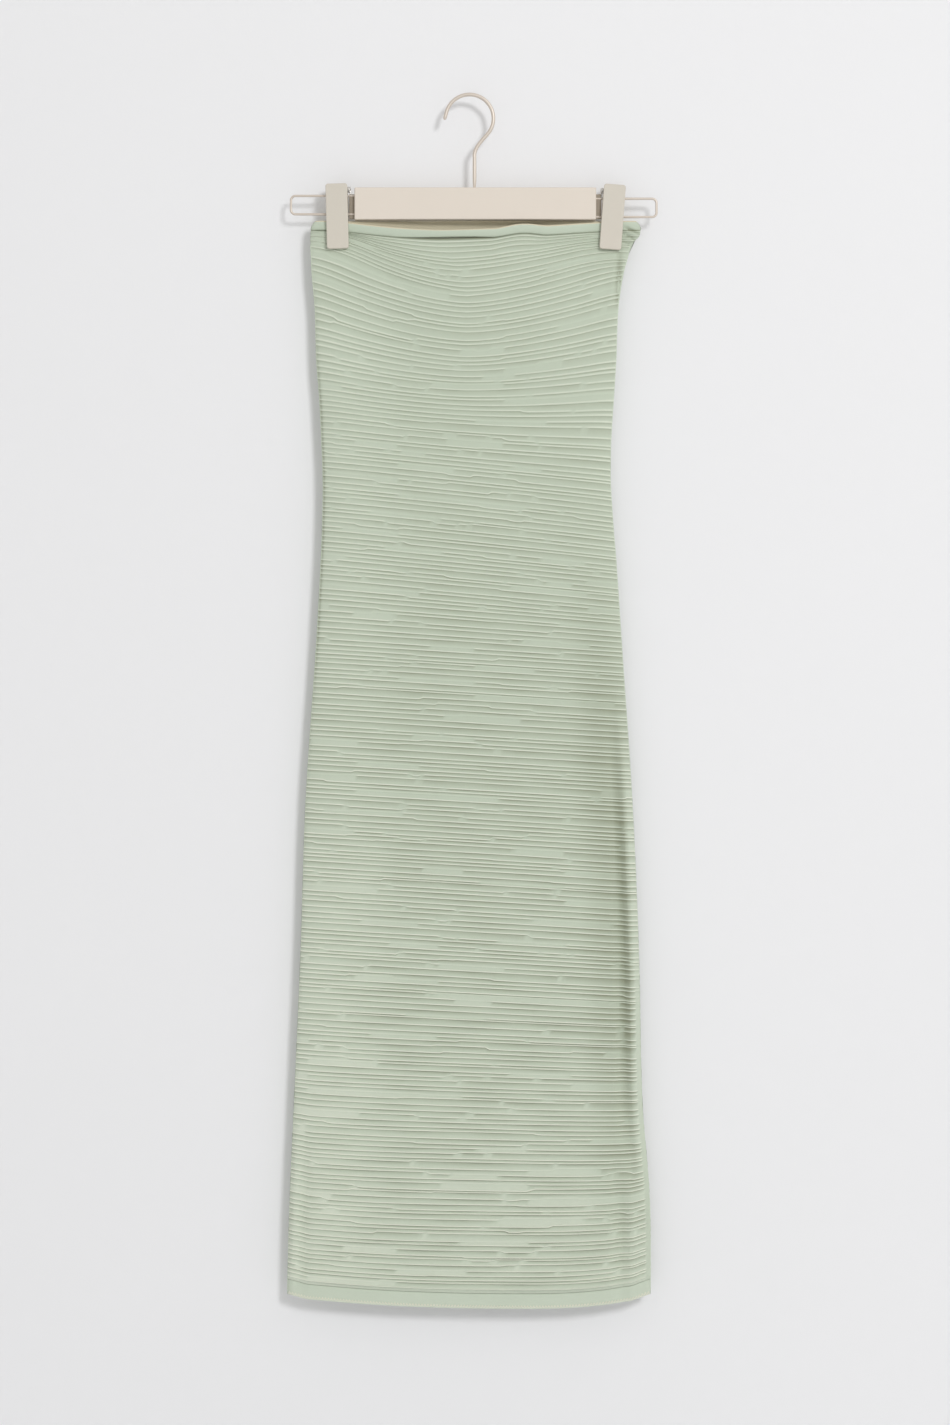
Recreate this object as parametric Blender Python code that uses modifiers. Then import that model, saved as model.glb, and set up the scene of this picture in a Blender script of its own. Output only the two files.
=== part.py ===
"""A strapless knitted dress that hangs flat from the two clips of a bar hanger.

The dress is a tube of two rippled panels with a folded neck band and a plain
hem band. The frame has its origin under the top of the hanger's hook, +Z up,
+X to the right of a person who looks at the front, and the front faces -Y.
Sizes in the tables are millimetres, and MM turns them into metres.
"""

import math

import bmesh
import bpy
import numpy as np
from mathutils import Vector

MM = 0.001
SEAM_GAP = 0.3

# Cloth walls and the ripples that are knitted into them
PANEL_WALL = 1.6
NECK_BAND_WALL = 3.0
NECK_BAND_HEIGHT = 9.4
NECK_BAND_PROUD = 0.8
NECK_BAND_ROLL = 0.9
HEM_BAND_WALL = 2.2
HEM_BAND_HEIGHT = 15.0
HEM_BAND_PROUD = 0.3
RIPPLE_COUNT = 160
RIPPLE_CREST = 0.5
RIPPLE_FOOT = 0.8
RIPPLE_LOW = 0.2
RIPPLES_FINER_AT_HEM = 0.2
RIPPLE_SHIFT = 0.74

# The body of the tube, between the neck band and the hem band
BODY_TOP = 144.5
BODY_BOTTOM = 1195.0
SIDE_ROUNDING = 6
NECK_ROUNDING = 24
CLIPPED_HALF_DEPTH = 2.5
CLIPPED_UNTIL = 160.0
RELAXED_FROM = 330.0
NECK_BOW = 6.6
NECK_BOW_SHARE = 0.74
BACK_SCOOP_AT_NECK = 0.1
BACK_SCOOP_FADES_BY = 600.0
LOWER_BACK_SCOOP = 0.8

PANEL_SHARES = (-1.0, -0.95, -0.74, -0.45, -0.15, 0.15, 0.45, 0.74, 0.94, 1.0)
PANEL_LINING_ROWS = 24
BAND_STEP = 0.085

# The outline from the front: drop below the origin, left edge, right edge
OUTLINE = (
    (122.5, -158.5, 168.0),
    (132.5, -158.5, 170.8),
    (140.5, -159.0, 169.2),
    (145.0, -159.0, 164.5),
    (149.5, -159.0, 160.5),
    (159.5, -158.5, 158.5),
    (178.5, -157.5, 153.5),
    (213.5, -154.5, 148.5),
    (263.5, -153.0, 146.5),
    (303.5, -150.0, 144.0),
    (343.5, -148.0, 141.5),
    (383.5, -146.5, 141.0),
    (423.5, -147.0, 143.3),
    (463.5, -148.5, 146.5),
    (553.5, -153.5, 152.5),
    (703.5, -163.5, 162.5),
    (853.5, -168.5, 169.0),
    (1003.5, -175.0, 172.5),
    (1103.5, -179.5, 180.0),
    (1213.5, -182.5, 181.0),
)

# How a knitted course lies on the front: its drop at the middle, how far its
# ends are drawn up, how far it slopes down to the right over the whole width,
# the share of the half width where it is fully drawn up, the power of that
# curve, and the share where it hangs lowest
COURSES = (
    (144.5, 10.3, 0.0, 0.85, 1.6, -0.20),
    (165.5, 25.0, 1.0, 0.85, 1.6, -0.10),
    (197.5, 38.0, 3.0, 0.85, 1.6, 0.00),
    (228.5, 33.0, 5.0, 0.88, 1.6, 0.00),
    (259.5, 23.0, 5.0, 0.92, 1.6, 0.00),
    (296.5, 14.0, 7.0, 0.95, 1.7, 0.00),
    (333.5, 5.0, 20.0, 1.00, 2.0, 0.00),
    (383.5, 0.0, 30.0, 1.00, 2.0, 0.00),
    (489.5, 0.0, 28.0, 1.00, 2.0, 0.00),
    (559.5, 0.0, 20.0, 1.00, 2.0, 0.00),
    (860.5, 0.0, 20.0, 1.00, 2.0, 0.00),
    (998.5, 2.0, 12.0, 1.00, 3.0, 0.00),
    (1067.5, 4.0, 8.0, 1.00, 3.0, 0.00),
    (1162.5, 9.0, 0.0, 1.00, 3.0, 0.00),
    (1195.0, 11.0, 2.0, 1.00, 3.0, 0.00),
)

# The half depth of the flattened tube, at a drop below the origin
FULLNESS = (
    (120.0, 8.8),
    (380.0, 8.2),
    (860.0, 9.2),
    (1215.0, 9.4),
)

# Soft troughs of the front: share across, half width as a share, the drops
# where it starts and ends, and its depth
FRONT_FOLDS = (
    (0.90, 0.10, 158.0, 225.0, 0.8),
    (0.94, 0.07, 590.0, 1070.0, 2.4),
    (-0.42, 0.30, 165.0, 290.0, 1.0),
)

# One repeat of the knitted ripples: height, the share of a mean spacing that it
# takes, the shares across that it runs between, and where it steps by how much
# of a mean spacing. Where a ripple is not raised it stays as a low rib.
RIPPLES = (
    (0.9, 1.20, -1.0, 1.0, -0.30, 0.14),
    (0.9, 0.70, -1.0, 0.6, 0.20, -0.10),
    (0.9, 1.35, -1.0, 1.0, 0.60, 0.16),
    (0.8, 0.80, -0.5, 1.0, 0.10, 0.12),
    (0.9, 0.75, -1.0, 1.0, -0.60, -0.14),
    (0.8, 1.40, -1.0, 0.1, -0.40, 0.10),
    (0.9, 0.90, -1.0, 1.0, 0.35, -0.16),
    (0.9, 0.70, -1.0, 1.0, -0.10, 0.14),
    (0.8, 1.30, -1.0, -0.3, -0.70, 0.12),
    (0.9, 0.85, -1.0, 1.0, 0.70, -0.12),
    (0.8, 1.25, 0.2, 1.0, 0.55, 0.16),
    (0.9, 0.70, -1.0, 1.0, -0.45, 0.10),
    (0.9, 1.10, -1.0, 0.8, 0.00, -0.16),
    (0.8, 0.80, -0.2, 1.0, 0.40, 0.14),
    (0.9, 1.35, -1.0, 1.0, -0.25, -0.10),
    (0.8, 0.75, -0.7, 0.5, 0.15, 0.16),
    (0.9, 1.20, -1.0, 1.0, 0.80, 0.12),
    (0.9, 0.80, -1.0, 0.4, -0.55, -0.14),
    (0.8, 1.30, -0.3, 1.0, 0.30, 0.10),
    (0.9, 0.80, -1.0, 1.0, -0.15, 0.16),
)

# Section of a band: share of its wall from the inner face, share of its height
NECK_BAND_SECTION = (
    (0.0, 0.14),
    (0.24, 0.0),
    (0.76, 0.0),
    (1.0, 0.14),
    (1.0, 0.86),
    (0.76, 1.0),
    (0.24, 1.0),
    (0.0, 0.86),
)
HEM_BAND_SECTION = (
    (0.0, 0.0),
    (1.0, 0.0),
    (1.0, 0.94),
    (0.7, 1.0),
    (0.3, 1.0),
    (0.0, 0.94),
)

# The hanger: bar, hook, wire loops and clips
BAR_LEFT = -114.9
BAR_RIGHT = 126.5
BAR_TOP = -91.8
BAR_BOTTOM = -123.9
BAR_THICKNESS = 12.0
BAR_EDGE = 1.2
TAB_LEFT = -120.2
TAB_RIGHT = 131.6
TAB_TOP = -98.0
TAB_BOTTOM = -122.6
TAB_THICKNESS = 5.0

HOOK_WIRE = 3.8
HOOK_RADIUS = 23.9
HOOK_SHANK_X = 5.0
HOOK_SHANK_TOP = -62.0
HOOK_TIP_ANGLE = 165.0
HOOK_TIP_LENGTH = 8.0
HOOK_THROAT_ANGLE = -38.0
HOOK_ARC_STEPS = 18
HOOK_BEND_STEPS = 10
HOOK_BEND_PULL = 0.6
WIRE_ROUNDNESS = 3

LOOP_WIRE = 2.4
LOOP_CORNER = 4.5
LOOP_CORNER_STEPS = 4
# Each wire loop: outer end, bar end, upper run and lower run
LOOPS = {
    "left": (-178.5, -120.6, -99.5, -117.9),
    "right": (187.0, 132.0, -102.3, -120.6),
}

JAW_WIDTH = 21.8
JAW_HEIGHT = 65.0
JAW_THICKNESS = 4.5
JAW_HALF_GAP = 3.6
JAW_CORNER = 2.6
JAW_CORNER_STEPS = 3
JAW_RIM = 0.6
JAW_RIM_ANGLE = 60.0
CORE_WIDTH = 17.0
SPRING_SIDES = 16
SPRING_SMOOTH_ANGLE = 40.0
SPRING_SETBACK = 1.0
SPRING_OVERHANG = 3.6
SPRING_DROP_FROM_TOP = 5.2
# Each clip: middle of its height, the height of its middle, and its lean
CLIPS = {
    "left": (-132.1, -120.7, -1.4),
    "right": (142.8, -121.5, 4.3),
}

# Colours of the two finishes of yarn, the hanger's coating and the springs
YARN_COLOUR = (0.50, 0.56, 0.43, 1.0)
BAND_COLOUR = (0.53, 0.60, 0.49, 1.0)
BAR_COLOUR = (0.75, 0.68, 0.59, 1.0)
CLIP_COLOUR = (0.66, 0.62, 0.53, 1.0)
WIRE_COLOUR = (0.70, 0.62, 0.54, 1.0)
STEEL_COLOUR = (0.60, 0.60, 0.60, 1.0)


def empty_the_scene():
    for old in list(bpy.data.objects):
        bpy.data.objects.remove(old, do_unlink=True)


def new_collection(name):
    collection = bpy.data.collections.new(name)
    bpy.context.scene.collection.children.link(collection)
    return collection


def finish(name, colour, roughness, metallic=0.0):
    """A plain Principled material."""
    material = bpy.data.materials.new(name)
    material.use_nodes = True
    shader = material.node_tree.nodes["Principled BSDF"]
    shader.inputs["Base Color"].default_value = colour
    shader.inputs["Roughness"].default_value = roughness
    shader.inputs["Metallic"].default_value = metallic
    material.diffuse_color = colour
    return material


def object_from_bmesh(name, bm, collection, material):
    bmesh.ops.recalc_face_normals(bm, faces=bm.faces)
    mesh = bpy.data.meshes.new(name)
    bm.to_mesh(mesh)
    bm.free()
    obj = bpy.data.objects.new(name, mesh)
    collection.objects.link(obj)
    mesh.materials.append(material)
    return obj


def smooth_at(rows, drop, column):
    """The value of one column of a table at a drop, on a smooth curve."""
    drops = [row[0] for row in rows]
    values = [row[column] for row in rows]
    if drop <= drops[0]:
        return values[0]
    if drop >= drops[-1]:
        return values[-1]
    i = int(np.searchsorted(drops, drop)) - 1
    span = drops[i + 1] - drops[i]
    t = (drop - drops[i]) / span
    slopes = []
    for k in (i, i + 1):
        before = max(k - 1, 0)
        after = min(k + 1, len(rows) - 1)
        slopes.append((values[after] - values[before]) / (drops[after] - drops[before]))
    start = (2 * t**3 - 3 * t**2 + 1) * values[i] + (t**3 - 2 * t**2 + t) * span * slopes[0]
    end = (-2 * t**3 + 3 * t**2) * values[i + 1] + (t**3 - t**2) * span * slopes[1]
    return start + end


def ease(value, start, end):
    """0 before start, 1 after end, and a smooth step between them."""
    t = min(1.0, max(0.0, (value - start) / (end - start)))
    return t * t * (3 - 2 * t)


def course_middle(course):
    """The drop of a course at the middle, from its share of the body's length.
    The courses lie closer together towards the hem."""
    stretch = course + RIPPLES_FINER_AT_HEM * course * (1 - course)
    return BODY_TOP + (BODY_BOTTOM - BODY_TOP) * stretch


def course_drop(course, share, side):
    """The drop of a course at a share across the width. On the back of the neck
    the courses run nearly straight, and both sides meet at the side seams."""
    middle = course_middle(course)
    drawn_up = smooth_at(COURSES, middle, 1)
    slope = smooth_at(COURSES, middle, 2)
    reach = smooth_at(COURSES, middle, 3)
    power = smooth_at(COURSES, middle, 4)
    lowest = smooth_at(COURSES, middle, 5)
    run = reach + lowest if share < lowest else reach - lowest
    curve = min(1.0, abs(share - lowest) / run) ** power
    scoop = 1.0
    if side > 0:
        fade = ease(middle, BODY_TOP, BACK_SCOOP_FADES_BY)
        scoop = BACK_SCOOP_AT_NECK + (LOWER_BACK_SCOOP - BACK_SCOOP_AT_NECK) * fade
    return middle - drawn_up * (1 - scoop * (1 - curve)) + slope * share / 2


def relaxed(drop):
    """0 where the clips press the cloth flat, 1 where the tube hangs free."""
    return ease(drop, CLIPPED_UNTIL, RELAXED_FROM)


def roundness(share, drop):
    """How the half depth falls to nothing at the side seams."""
    share = min(1.0, abs(share))
    neck = math.sqrt(1 - share**NECK_ROUNDING)
    body = math.sqrt(1 - share**SIDE_ROUNDING)
    return neck + (body - neck) * relaxed(drop)


def neck_bow(share):
    """How far the neck bows away from the other side between the clips."""
    return max(0.0, 1 - (share / NECK_BOW_SHARE) ** 2)


def fold_depth(share, drop):
    """The depth of the soft troughs at a place on the front."""
    total = 0.0
    for centre, half_width, start, end, depth in FRONT_FOLDS:
        across = max(0.0, 1 - ((share - centre) / half_width) ** 2)
        if start < drop < end:
            total += depth * across**2 * math.sin(math.pi * (drop - start) / (end - start))
    return total


def half_depth(share, drop, side):
    """Half the depth of the tube's smooth outer face at a place."""
    free = relaxed(drop)
    neck = CLIPPED_HALF_DEPTH + NECK_BOW * neck_bow(share)
    depth = neck + (smooth_at(FULLNESS, drop, 1) - neck) * free
    if side < 0:
        depth -= fold_depth(share, drop)
    return depth * roundness(share, drop)


def tube_point(share, drop, inset, side):
    """A point of the tube's wall. The inset is measured from the wall's smooth
    outer face, and side is -1 on the front and 1 on the back."""
    left = smooth_at(OUTLINE, drop, 1)
    right = smooth_at(OUTLINE, drop, 2)
    half_width = (right - left) / 2
    x = (left + right) / 2 + share * (half_width - inset)
    depth = half_depth(share, drop, side) - inset * roundness(share, drop)
    y = side * max(SEAM_GAP / 2, depth)
    return Vector((x, y, -drop)) * MM


def ripple_at(index, share):
    """The height of a ripple at a share across, and its step along the cloth as
    a share of a mean spacing, from the repeat's table."""
    rise, _, start, end, step_at, step = RIPPLES[index % len(RIPPLES)]
    shifted = share + RIPPLE_SHIFT * (index // len(RIPPLES))
    shifted = (shifted + 1) % 2 - 1
    if not (start <= shifted <= end or (start == -1.0 and end == 1.0)):
        rise = RIPPLE_LOW
    return rise, step if shifted > step_at else 0.0


def panel_rows():
    """The mesh rows of a panel's face: the course at a share, and the height."""
    spacings = [RIPPLES[index % len(RIPPLES)][1] for index in range(RIPPLE_COUNT)]
    starts = np.concatenate(([0.0], np.cumsum(spacings))) / sum(spacings)
    rows = [[(0.0, 0.0)] * len(PANEL_SHARES)]
    for index in range(RIPPLE_COUNT):
        run = starts[index + 1] - starts[index]
        crest = []
        foot = []
        for share in PANEL_SHARES:
            rise, step = ripple_at(index, share)
            step /= RIPPLE_COUNT
            crest.append((starts[index] + run * RIPPLE_CREST + step, rise))
            foot.append((starts[index] + run * RIPPLE_FOOT + step, 0.0))
        rows += [crest, foot]
    rows.append([(1.0, 0.0)] * len(PANEL_SHARES))
    return rows


def make_panel(name, side, collection, material):
    """One side of the tube: a rippled outer face over a plain inner face."""
    bm = bmesh.new()
    face_rows = []
    for places in panel_rows():
        row = []
        for share, (course, height) in zip(PANEL_SHARES, places):
            drop = course_drop(course, share, side)
            row.append(bm.verts.new(tube_point(share, drop, -height, side)))
        face_rows.append(row)
    inner_rows = []
    for k in range(PANEL_LINING_ROWS + 1):
        course = k / PANEL_LINING_ROWS
        row = []
        for share in PANEL_SHARES:
            drop = course_drop(course, share, side)
            row.append(bm.verts.new(tube_point(share, drop, PANEL_WALL, side)))
        inner_rows.append(row)
    for rows in (face_rows, inner_rows):
        for upper, lower in zip(rows, rows[1:]):
            for k in range(len(PANEL_SHARES) - 1):
                bm.faces.new((upper[k], upper[k + 1], lower[k + 1], lower[k]))
    for face_row, inner_row in ((face_rows[0], inner_rows[0]), (face_rows[-1], inner_rows[-1])):
        for k in range(len(PANEL_SHARES) - 1):
            bm.faces.new((face_row[k], face_row[k + 1], inner_row[k + 1], inner_row[k]))
    last = len(face_rows) - 1
    for k in range(PANEL_LINING_ROWS):
        start = round(k * last / PANEL_LINING_ROWS)
        end = round((k + 1) * last / PANEL_LINING_ROWS)
        for edge in (0, -1):
            ring = [face_rows[i][edge] for i in range(start, end + 1)]
            ring += [inner_rows[k + 1][edge], inner_rows[k][edge]]
            bm.faces.new(ring)
    return object_from_bmesh(name, bm, collection, material)


def seam_drop(course, share, side):
    """The drop of a panel's top or bottom edge, straight between its columns."""
    drops = [course_drop(course, column, side) for column in PANEL_SHARES]
    return float(np.interp(share, PANEL_SHARES, drops))


def neck_band_edges(share, side):
    """The drops of the neck band's upper and lower edge."""
    upper = course_drop(0.0, share, side) - SEAM_GAP - NECK_BAND_HEIGHT
    return upper, seam_drop(0.0, share, side) - SEAM_GAP


def hem_band_edges(share, side):
    """The drops of the hem band's upper and lower edge."""
    lower = course_drop(1.0, share, side) + SEAM_GAP + HEM_BAND_HEIGHT
    return seam_drop(1.0, share, side) + SEAM_GAP, lower


def make_band(name, side, edges, section, wall, proud, roll, collection, material):
    """A band along the neck or the hem: one closed section at every column."""
    bm = bmesh.new()
    rings = []
    for share in band_shares():
        upper, lower = edges(share, side)
        outer = proud + roll * neck_bow(share)
        ring = []
        for wall_share, height_share in section:
            inset = wall * (1 - wall_share) - outer
            drop = upper + (lower - upper) * height_share
            ring.append(bm.verts.new(tube_point(share, drop, inset, side)))
        rings.append(ring)
    count = len(section)
    for near, far in zip(rings, rings[1:]):
        for k in range(count):
            bm.faces.new((near[k], near[(k + 1) % count], far[(k + 1) % count], far[k]))
    bm.faces.new(rings[0])
    bm.faces.new(rings[-1])
    return object_from_bmesh(name, bm, collection, material)


def band_shares():
    """The panel's columns, with even steps between them."""
    shares = [PANEL_SHARES[0]]
    for start, end in zip(PANEL_SHARES, PANEL_SHARES[1:]):
        steps = max(1, round((end - start) / BAND_STEP))
        shares += [start + (end - start) * k / steps for k in range(1, steps + 1)]
    return shares


def box(name, low, high, collection, material):
    """A box between two corners, given in millimetres."""
    bm = bmesh.new()
    bmesh.ops.create_cube(bm, size=1.0)
    size = [(high[k] - low[k]) * MM for k in range(3)]
    middle = [(high[k] + low[k]) / 2 * MM for k in range(3)]
    bmesh.ops.scale(bm, vec=size, verts=bm.verts)
    bmesh.ops.translate(bm, vec=middle, verts=bm.verts)
    return object_from_bmesh(name, bm, collection, material)


def round_edges(obj, width, segments):
    bevel = obj.modifiers.new("edges", "BEVEL")
    bevel.width = width * MM
    bevel.segments = segments
    bevel.limit_method = "ANGLE"


def make_bar(collection, cutters, material):
    """The flat bar, with a thinner tab at each end that holds the wire loops."""
    half = BAR_THICKNESS / 2
    low = (BAR_LEFT, -half, BAR_BOTTOM)
    high = (BAR_RIGHT, half, BAR_TOP)
    bar = box("hanger_bar", low, high, collection, material)
    round_edges(bar, BAR_EDGE, 2)
    half = TAB_THICKNESS / 2
    low = (TAB_LEFT, -half, TAB_BOTTOM)
    high = (TAB_RIGHT, half, TAB_TOP)
    tabs = box("bar_tabs", low, high, cutters, material)
    tabs.hide_render = True
    tabs.display_type = "WIRE"
    union = bar.modifiers.new("tabs", "BOOLEAN")
    union.operation = "UNION"
    union.solver = "EXACT"
    union.object = tabs
    return bar


def wire(name, points, diameter, collection, material):
    """A round wire along a list of points, given in millimetres."""
    curve = bpy.data.curves.new(name, "CURVE")
    curve.dimensions = "3D"
    curve.bevel_depth = diameter / 2 * MM
    curve.bevel_resolution = WIRE_ROUNDNESS
    curve.use_fill_caps = True
    spline = curve.splines.new("POLY")
    spline.points.add(len(points) - 1)
    for point, place in zip(spline.points, points):
        point.co = (place[0] * MM, 0.0, place[1] * MM, 1.0)
    obj = bpy.data.objects.new(name, curve)
    collection.objects.link(obj)
    curve.materials.append(material)
    return obj


def hook_points():
    """The hook in the plane of the bar: tip, arc, throat bend and shank."""
    radius = HOOK_RADIUS
    centre_z = HOOK_WIRE / 2 - radius
    points = []
    for k in range(HOOK_ARC_STEPS + 1):
        turn = HOOK_TIP_ANGLE + (HOOK_THROAT_ANGLE - HOOK_TIP_ANGLE) * k / HOOK_ARC_STEPS
        angle = math.radians(turn)
        points.append((radius * math.cos(angle), centre_z + radius * math.sin(angle)))
    tip_angle = math.radians(HOOK_TIP_ANGLE)
    tip = (
        points[0][0] - HOOK_TIP_LENGTH * math.sin(tip_angle),
        points[0][1] + HOOK_TIP_LENGTH * math.cos(tip_angle),
    )
    throat = Vector(points[-1])
    throat_angle = math.radians(HOOK_THROAT_ANGLE)
    heading = Vector((math.sin(throat_angle), -math.cos(throat_angle)))
    shank = Vector((HOOK_SHANK_X, HOOK_SHANK_TOP))
    reach = (shank - throat).length
    for k in range(1, HOOK_BEND_STEPS + 1):
        t = k / HOOK_BEND_STEPS
        near = throat + heading * reach * t
        far = shank + Vector((0.0, 1.0)) * reach * HOOK_BEND_PULL * (1 - t)
        weight = t * t * (3 - 2 * t)
        points.append(tuple(near.lerp(far, weight)))
    points.append((HOOK_SHANK_X, BAR_TOP + SEAM_GAP))
    return [tip] + points


def loop_points(outer, inner, upper, lower):
    """A flat wire loop: out along the upper run, round the end, and back."""
    outward = math.copysign(1.0, outer - inner)
    corner = LOOP_CORNER
    points = [(inner, upper)]
    for centre_z, start in ((upper - corner, 90), (lower + corner, 0)):
        for k in range(LOOP_CORNER_STEPS + 1):
            angle = math.radians(start - 90 * k / LOOP_CORNER_STEPS)
            x = outer - outward * corner * (1 - math.cos(angle))
            points.append((x, centre_z + corner * math.sin(angle)))
    points.append((inner, lower))
    return points


def make_jaw(name, clip, side, collection, material):
    """One flat jaw of a clip, with round corners and eased rims."""
    x, z, lean = clip
    bm = bmesh.new()
    bmesh.ops.create_cube(bm, size=1.0)
    bmesh.ops.scale(bm, vec=Vector((JAW_WIDTH, JAW_THICKNESS, JAW_HEIGHT)) * MM, verts=bm.verts)
    corners = [e for e in bm.edges if abs((e.verts[0].co - e.verts[1].co).y) > JAW_THICKNESS * MM / 2]
    bmesh.ops.bevel(
        bm, geom=corners, offset=JAW_CORNER * MM, segments=JAW_CORNER_STEPS,
        profile=0.5, affect="EDGES", clamp_overlap=True,
    )
    jaw = object_from_bmesh(name, bm, collection, material)
    round_edges(jaw, JAW_RIM, 1)
    jaw.modifiers["edges"].angle_limit = math.radians(JAW_RIM_ANGLE)
    y = side * (JAW_HALF_GAP + JAW_THICKNESS / 2)
    jaw.location = Vector((x, y, z)) * MM
    jaw.rotation_euler = (0.0, math.radians(lean), 0.0)
    return jaw


def make_core(name, clip, loop, collection, material):
    """The block between the jaws, between the two runs of the wire loop."""
    x = clip[0]
    upper, lower = loop[2], loop[3]
    clear = LOOP_WIRE / 2 + SEAM_GAP
    half_width = CORE_WIDTH / 2
    half = JAW_HALF_GAP - SEAM_GAP
    low = (x - half_width, -half, lower + clear)
    high = (x + half_width, half, upper - clear)
    core = box(name, low, high, collection, material)
    round_edges(core, JAW_RIM, 1)
    return core


def make_spring(name, clip, collection, material):
    """The steel spring's barrel at the top of the clip; its end stands out on
    the side of the bar."""
    x, z, lean = clip
    towards_bar = -math.copysign(1.0, x)
    radius = JAW_HALF_GAP - SEAM_GAP
    length = JAW_WIDTH - SPRING_SETBACK + SPRING_OVERHANG
    bpy.ops.mesh.primitive_cylinder_add(vertices=SPRING_SIDES, radius=radius * MM, depth=length * MM)
    spring = bpy.context.object
    spring.name = name
    for home in list(spring.users_collection):
        home.objects.unlink(spring)
    collection.objects.link(spring)
    top = z + JAW_HEIGHT / 2 - SPRING_DROP_FROM_TOP
    shift = (z - top) * -math.tan(math.radians(lean))
    spring.location = Vector((x + shift + towards_bar * SPRING_OVERHANG / 2, 0.0, top)) * MM
    spring.rotation_euler = (0.0, math.radians(90), 0.0)
    spring.data.materials.append(material)
    spring.data.shade_smooth()
    spring.data.set_sharp_from_angle(angle=math.radians(SPRING_SMOOTH_ANGLE))
    return spring


def main():
    empty_the_scene()
    parts = new_collection("strapless_dress_on_hanger")
    cutters = new_collection("cutters")

    yarn = finish("yarn", YARN_COLOUR, 0.9)
    band_yarn = finish("band_yarn", BAND_COLOUR, 0.9)
    bar_coat = finish("bar_coat", BAR_COLOUR, 0.55)
    clip_coat = finish("clip_coat", CLIP_COLOUR, 0.55)
    wire_coat = finish("wire_coat", WIRE_COLOUR, 0.4)
    steel = finish("steel", STEEL_COLOUR, 0.3, 1.0)

    for word, side in (("front", -1), ("back", 1)):
        make_panel(f"{word}_panel", side, parts, yarn)
        make_band(
            f"neck_band_{word}", side, neck_band_edges, NECK_BAND_SECTION,
            NECK_BAND_WALL, NECK_BAND_PROUD, NECK_BAND_ROLL, parts, band_yarn,
        )
        make_band(
            f"hem_band_{word}", side, hem_band_edges, HEM_BAND_SECTION,
            HEM_BAND_WALL, HEM_BAND_PROUD, 0.0, parts, band_yarn,
        )

    make_bar(parts, cutters, bar_coat)
    wire("hanger_hook", hook_points(), HOOK_WIRE, parts, wire_coat)
    for word, clip in CLIPS.items():
        loop = LOOPS[word]
        wire(f"wire_loop_{word}", loop_points(*loop), LOOP_WIRE, parts, wire_coat)
        make_jaw(f"clip_{word}_front_jaw", clip, -1, parts, clip_coat)
        make_jaw(f"clip_{word}_back_jaw", clip, 1, parts, clip_coat)
        make_core(f"clip_{word}_core", clip, loop, parts, clip_coat)
        make_spring(f"clip_{word}_spring", clip, parts, steel)


main()
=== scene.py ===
"""The looks of a strapless knitted dress that hangs from the clips of a bar hanger.

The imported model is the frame: metres, origin under the top of the hanger's hook,
+Z up, +X to the right of a person who looks at the front, and the front faces -Y.
Tables and sizes here are millimetres, and MM turns them into metres. "Drop" is
the distance below the origin, "share" goes from -1 at the left side seam to 1 at
the right one, and "course" goes from 0 under the neck band to 1 at the hem band.
"""

import math

import bpy
import numpy as np
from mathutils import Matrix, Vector


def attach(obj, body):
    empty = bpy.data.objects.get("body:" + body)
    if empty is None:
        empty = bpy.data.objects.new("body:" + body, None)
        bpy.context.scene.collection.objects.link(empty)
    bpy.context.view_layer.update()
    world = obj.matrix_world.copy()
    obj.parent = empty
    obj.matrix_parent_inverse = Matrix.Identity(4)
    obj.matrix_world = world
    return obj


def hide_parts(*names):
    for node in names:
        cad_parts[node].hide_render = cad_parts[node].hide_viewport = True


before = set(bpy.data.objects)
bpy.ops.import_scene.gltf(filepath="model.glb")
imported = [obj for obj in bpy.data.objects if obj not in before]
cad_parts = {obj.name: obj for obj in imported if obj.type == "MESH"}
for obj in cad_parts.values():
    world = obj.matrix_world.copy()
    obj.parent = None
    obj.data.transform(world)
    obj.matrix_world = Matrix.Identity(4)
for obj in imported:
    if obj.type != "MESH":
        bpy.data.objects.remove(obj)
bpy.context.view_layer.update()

MM = 0.001
FRONT = -1
BACK = 1

# The cloth's wall, its outline and how its courses lie, as in the solids
PANEL_WALL = 1.6
BODY_TOP = 144.5
BODY_BOTTOM = 1195.0
SIDE_ROUNDING = 6
NECK_ROUNDING = 24
CLIPPED_HALF_DEPTH = 2.5
CLIPPED_UNTIL = 160.0
RELAXED_FROM = 330.0
NECK_BOW = 6.6
NECK_BOW_SHARE = 0.74
BACK_SCOOP_AT_NECK = 0.1
BACK_SCOOP_FADES_BY = 600.0
LOWER_BACK_SCOOP = 0.8
# The gap between pieces that lie against each other
CLEARANCE = 0.3
# The share from which the wall's thickness also narrows it at its sides
NARROWED_FROM = 0.95

# The outline from the front: drop, left edge, right edge
OUTLINE = (
    (122.5, -150.8, 163.5),
    (126.5, -155.4, 167.8),
    (132.5, -158.2, 170.8),
    (140.5, -159.0, 169.2),
    (145.0, -159.0, 164.5),
    (149.5, -159.0, 160.5),
    (159.5, -158.5, 158.5),
    (178.5, -157.5, 153.5),
    (213.5, -154.5, 148.5),
    (263.5, -153.0, 146.5),
    (303.5, -150.0, 144.0),
    (343.5, -148.0, 141.5),
    (383.5, -146.5, 141.0),
    (423.5, -147.0, 143.3),
    (463.5, -148.5, 146.5),
    (553.5, -153.5, 152.5),
    (703.5, -163.5, 162.5),
    (853.5, -168.5, 169.0),
    (1003.5, -175.0, 172.5),
    (1103.5, -179.5, 180.0),
    (1213.5, -182.5, 181.0),
)

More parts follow.
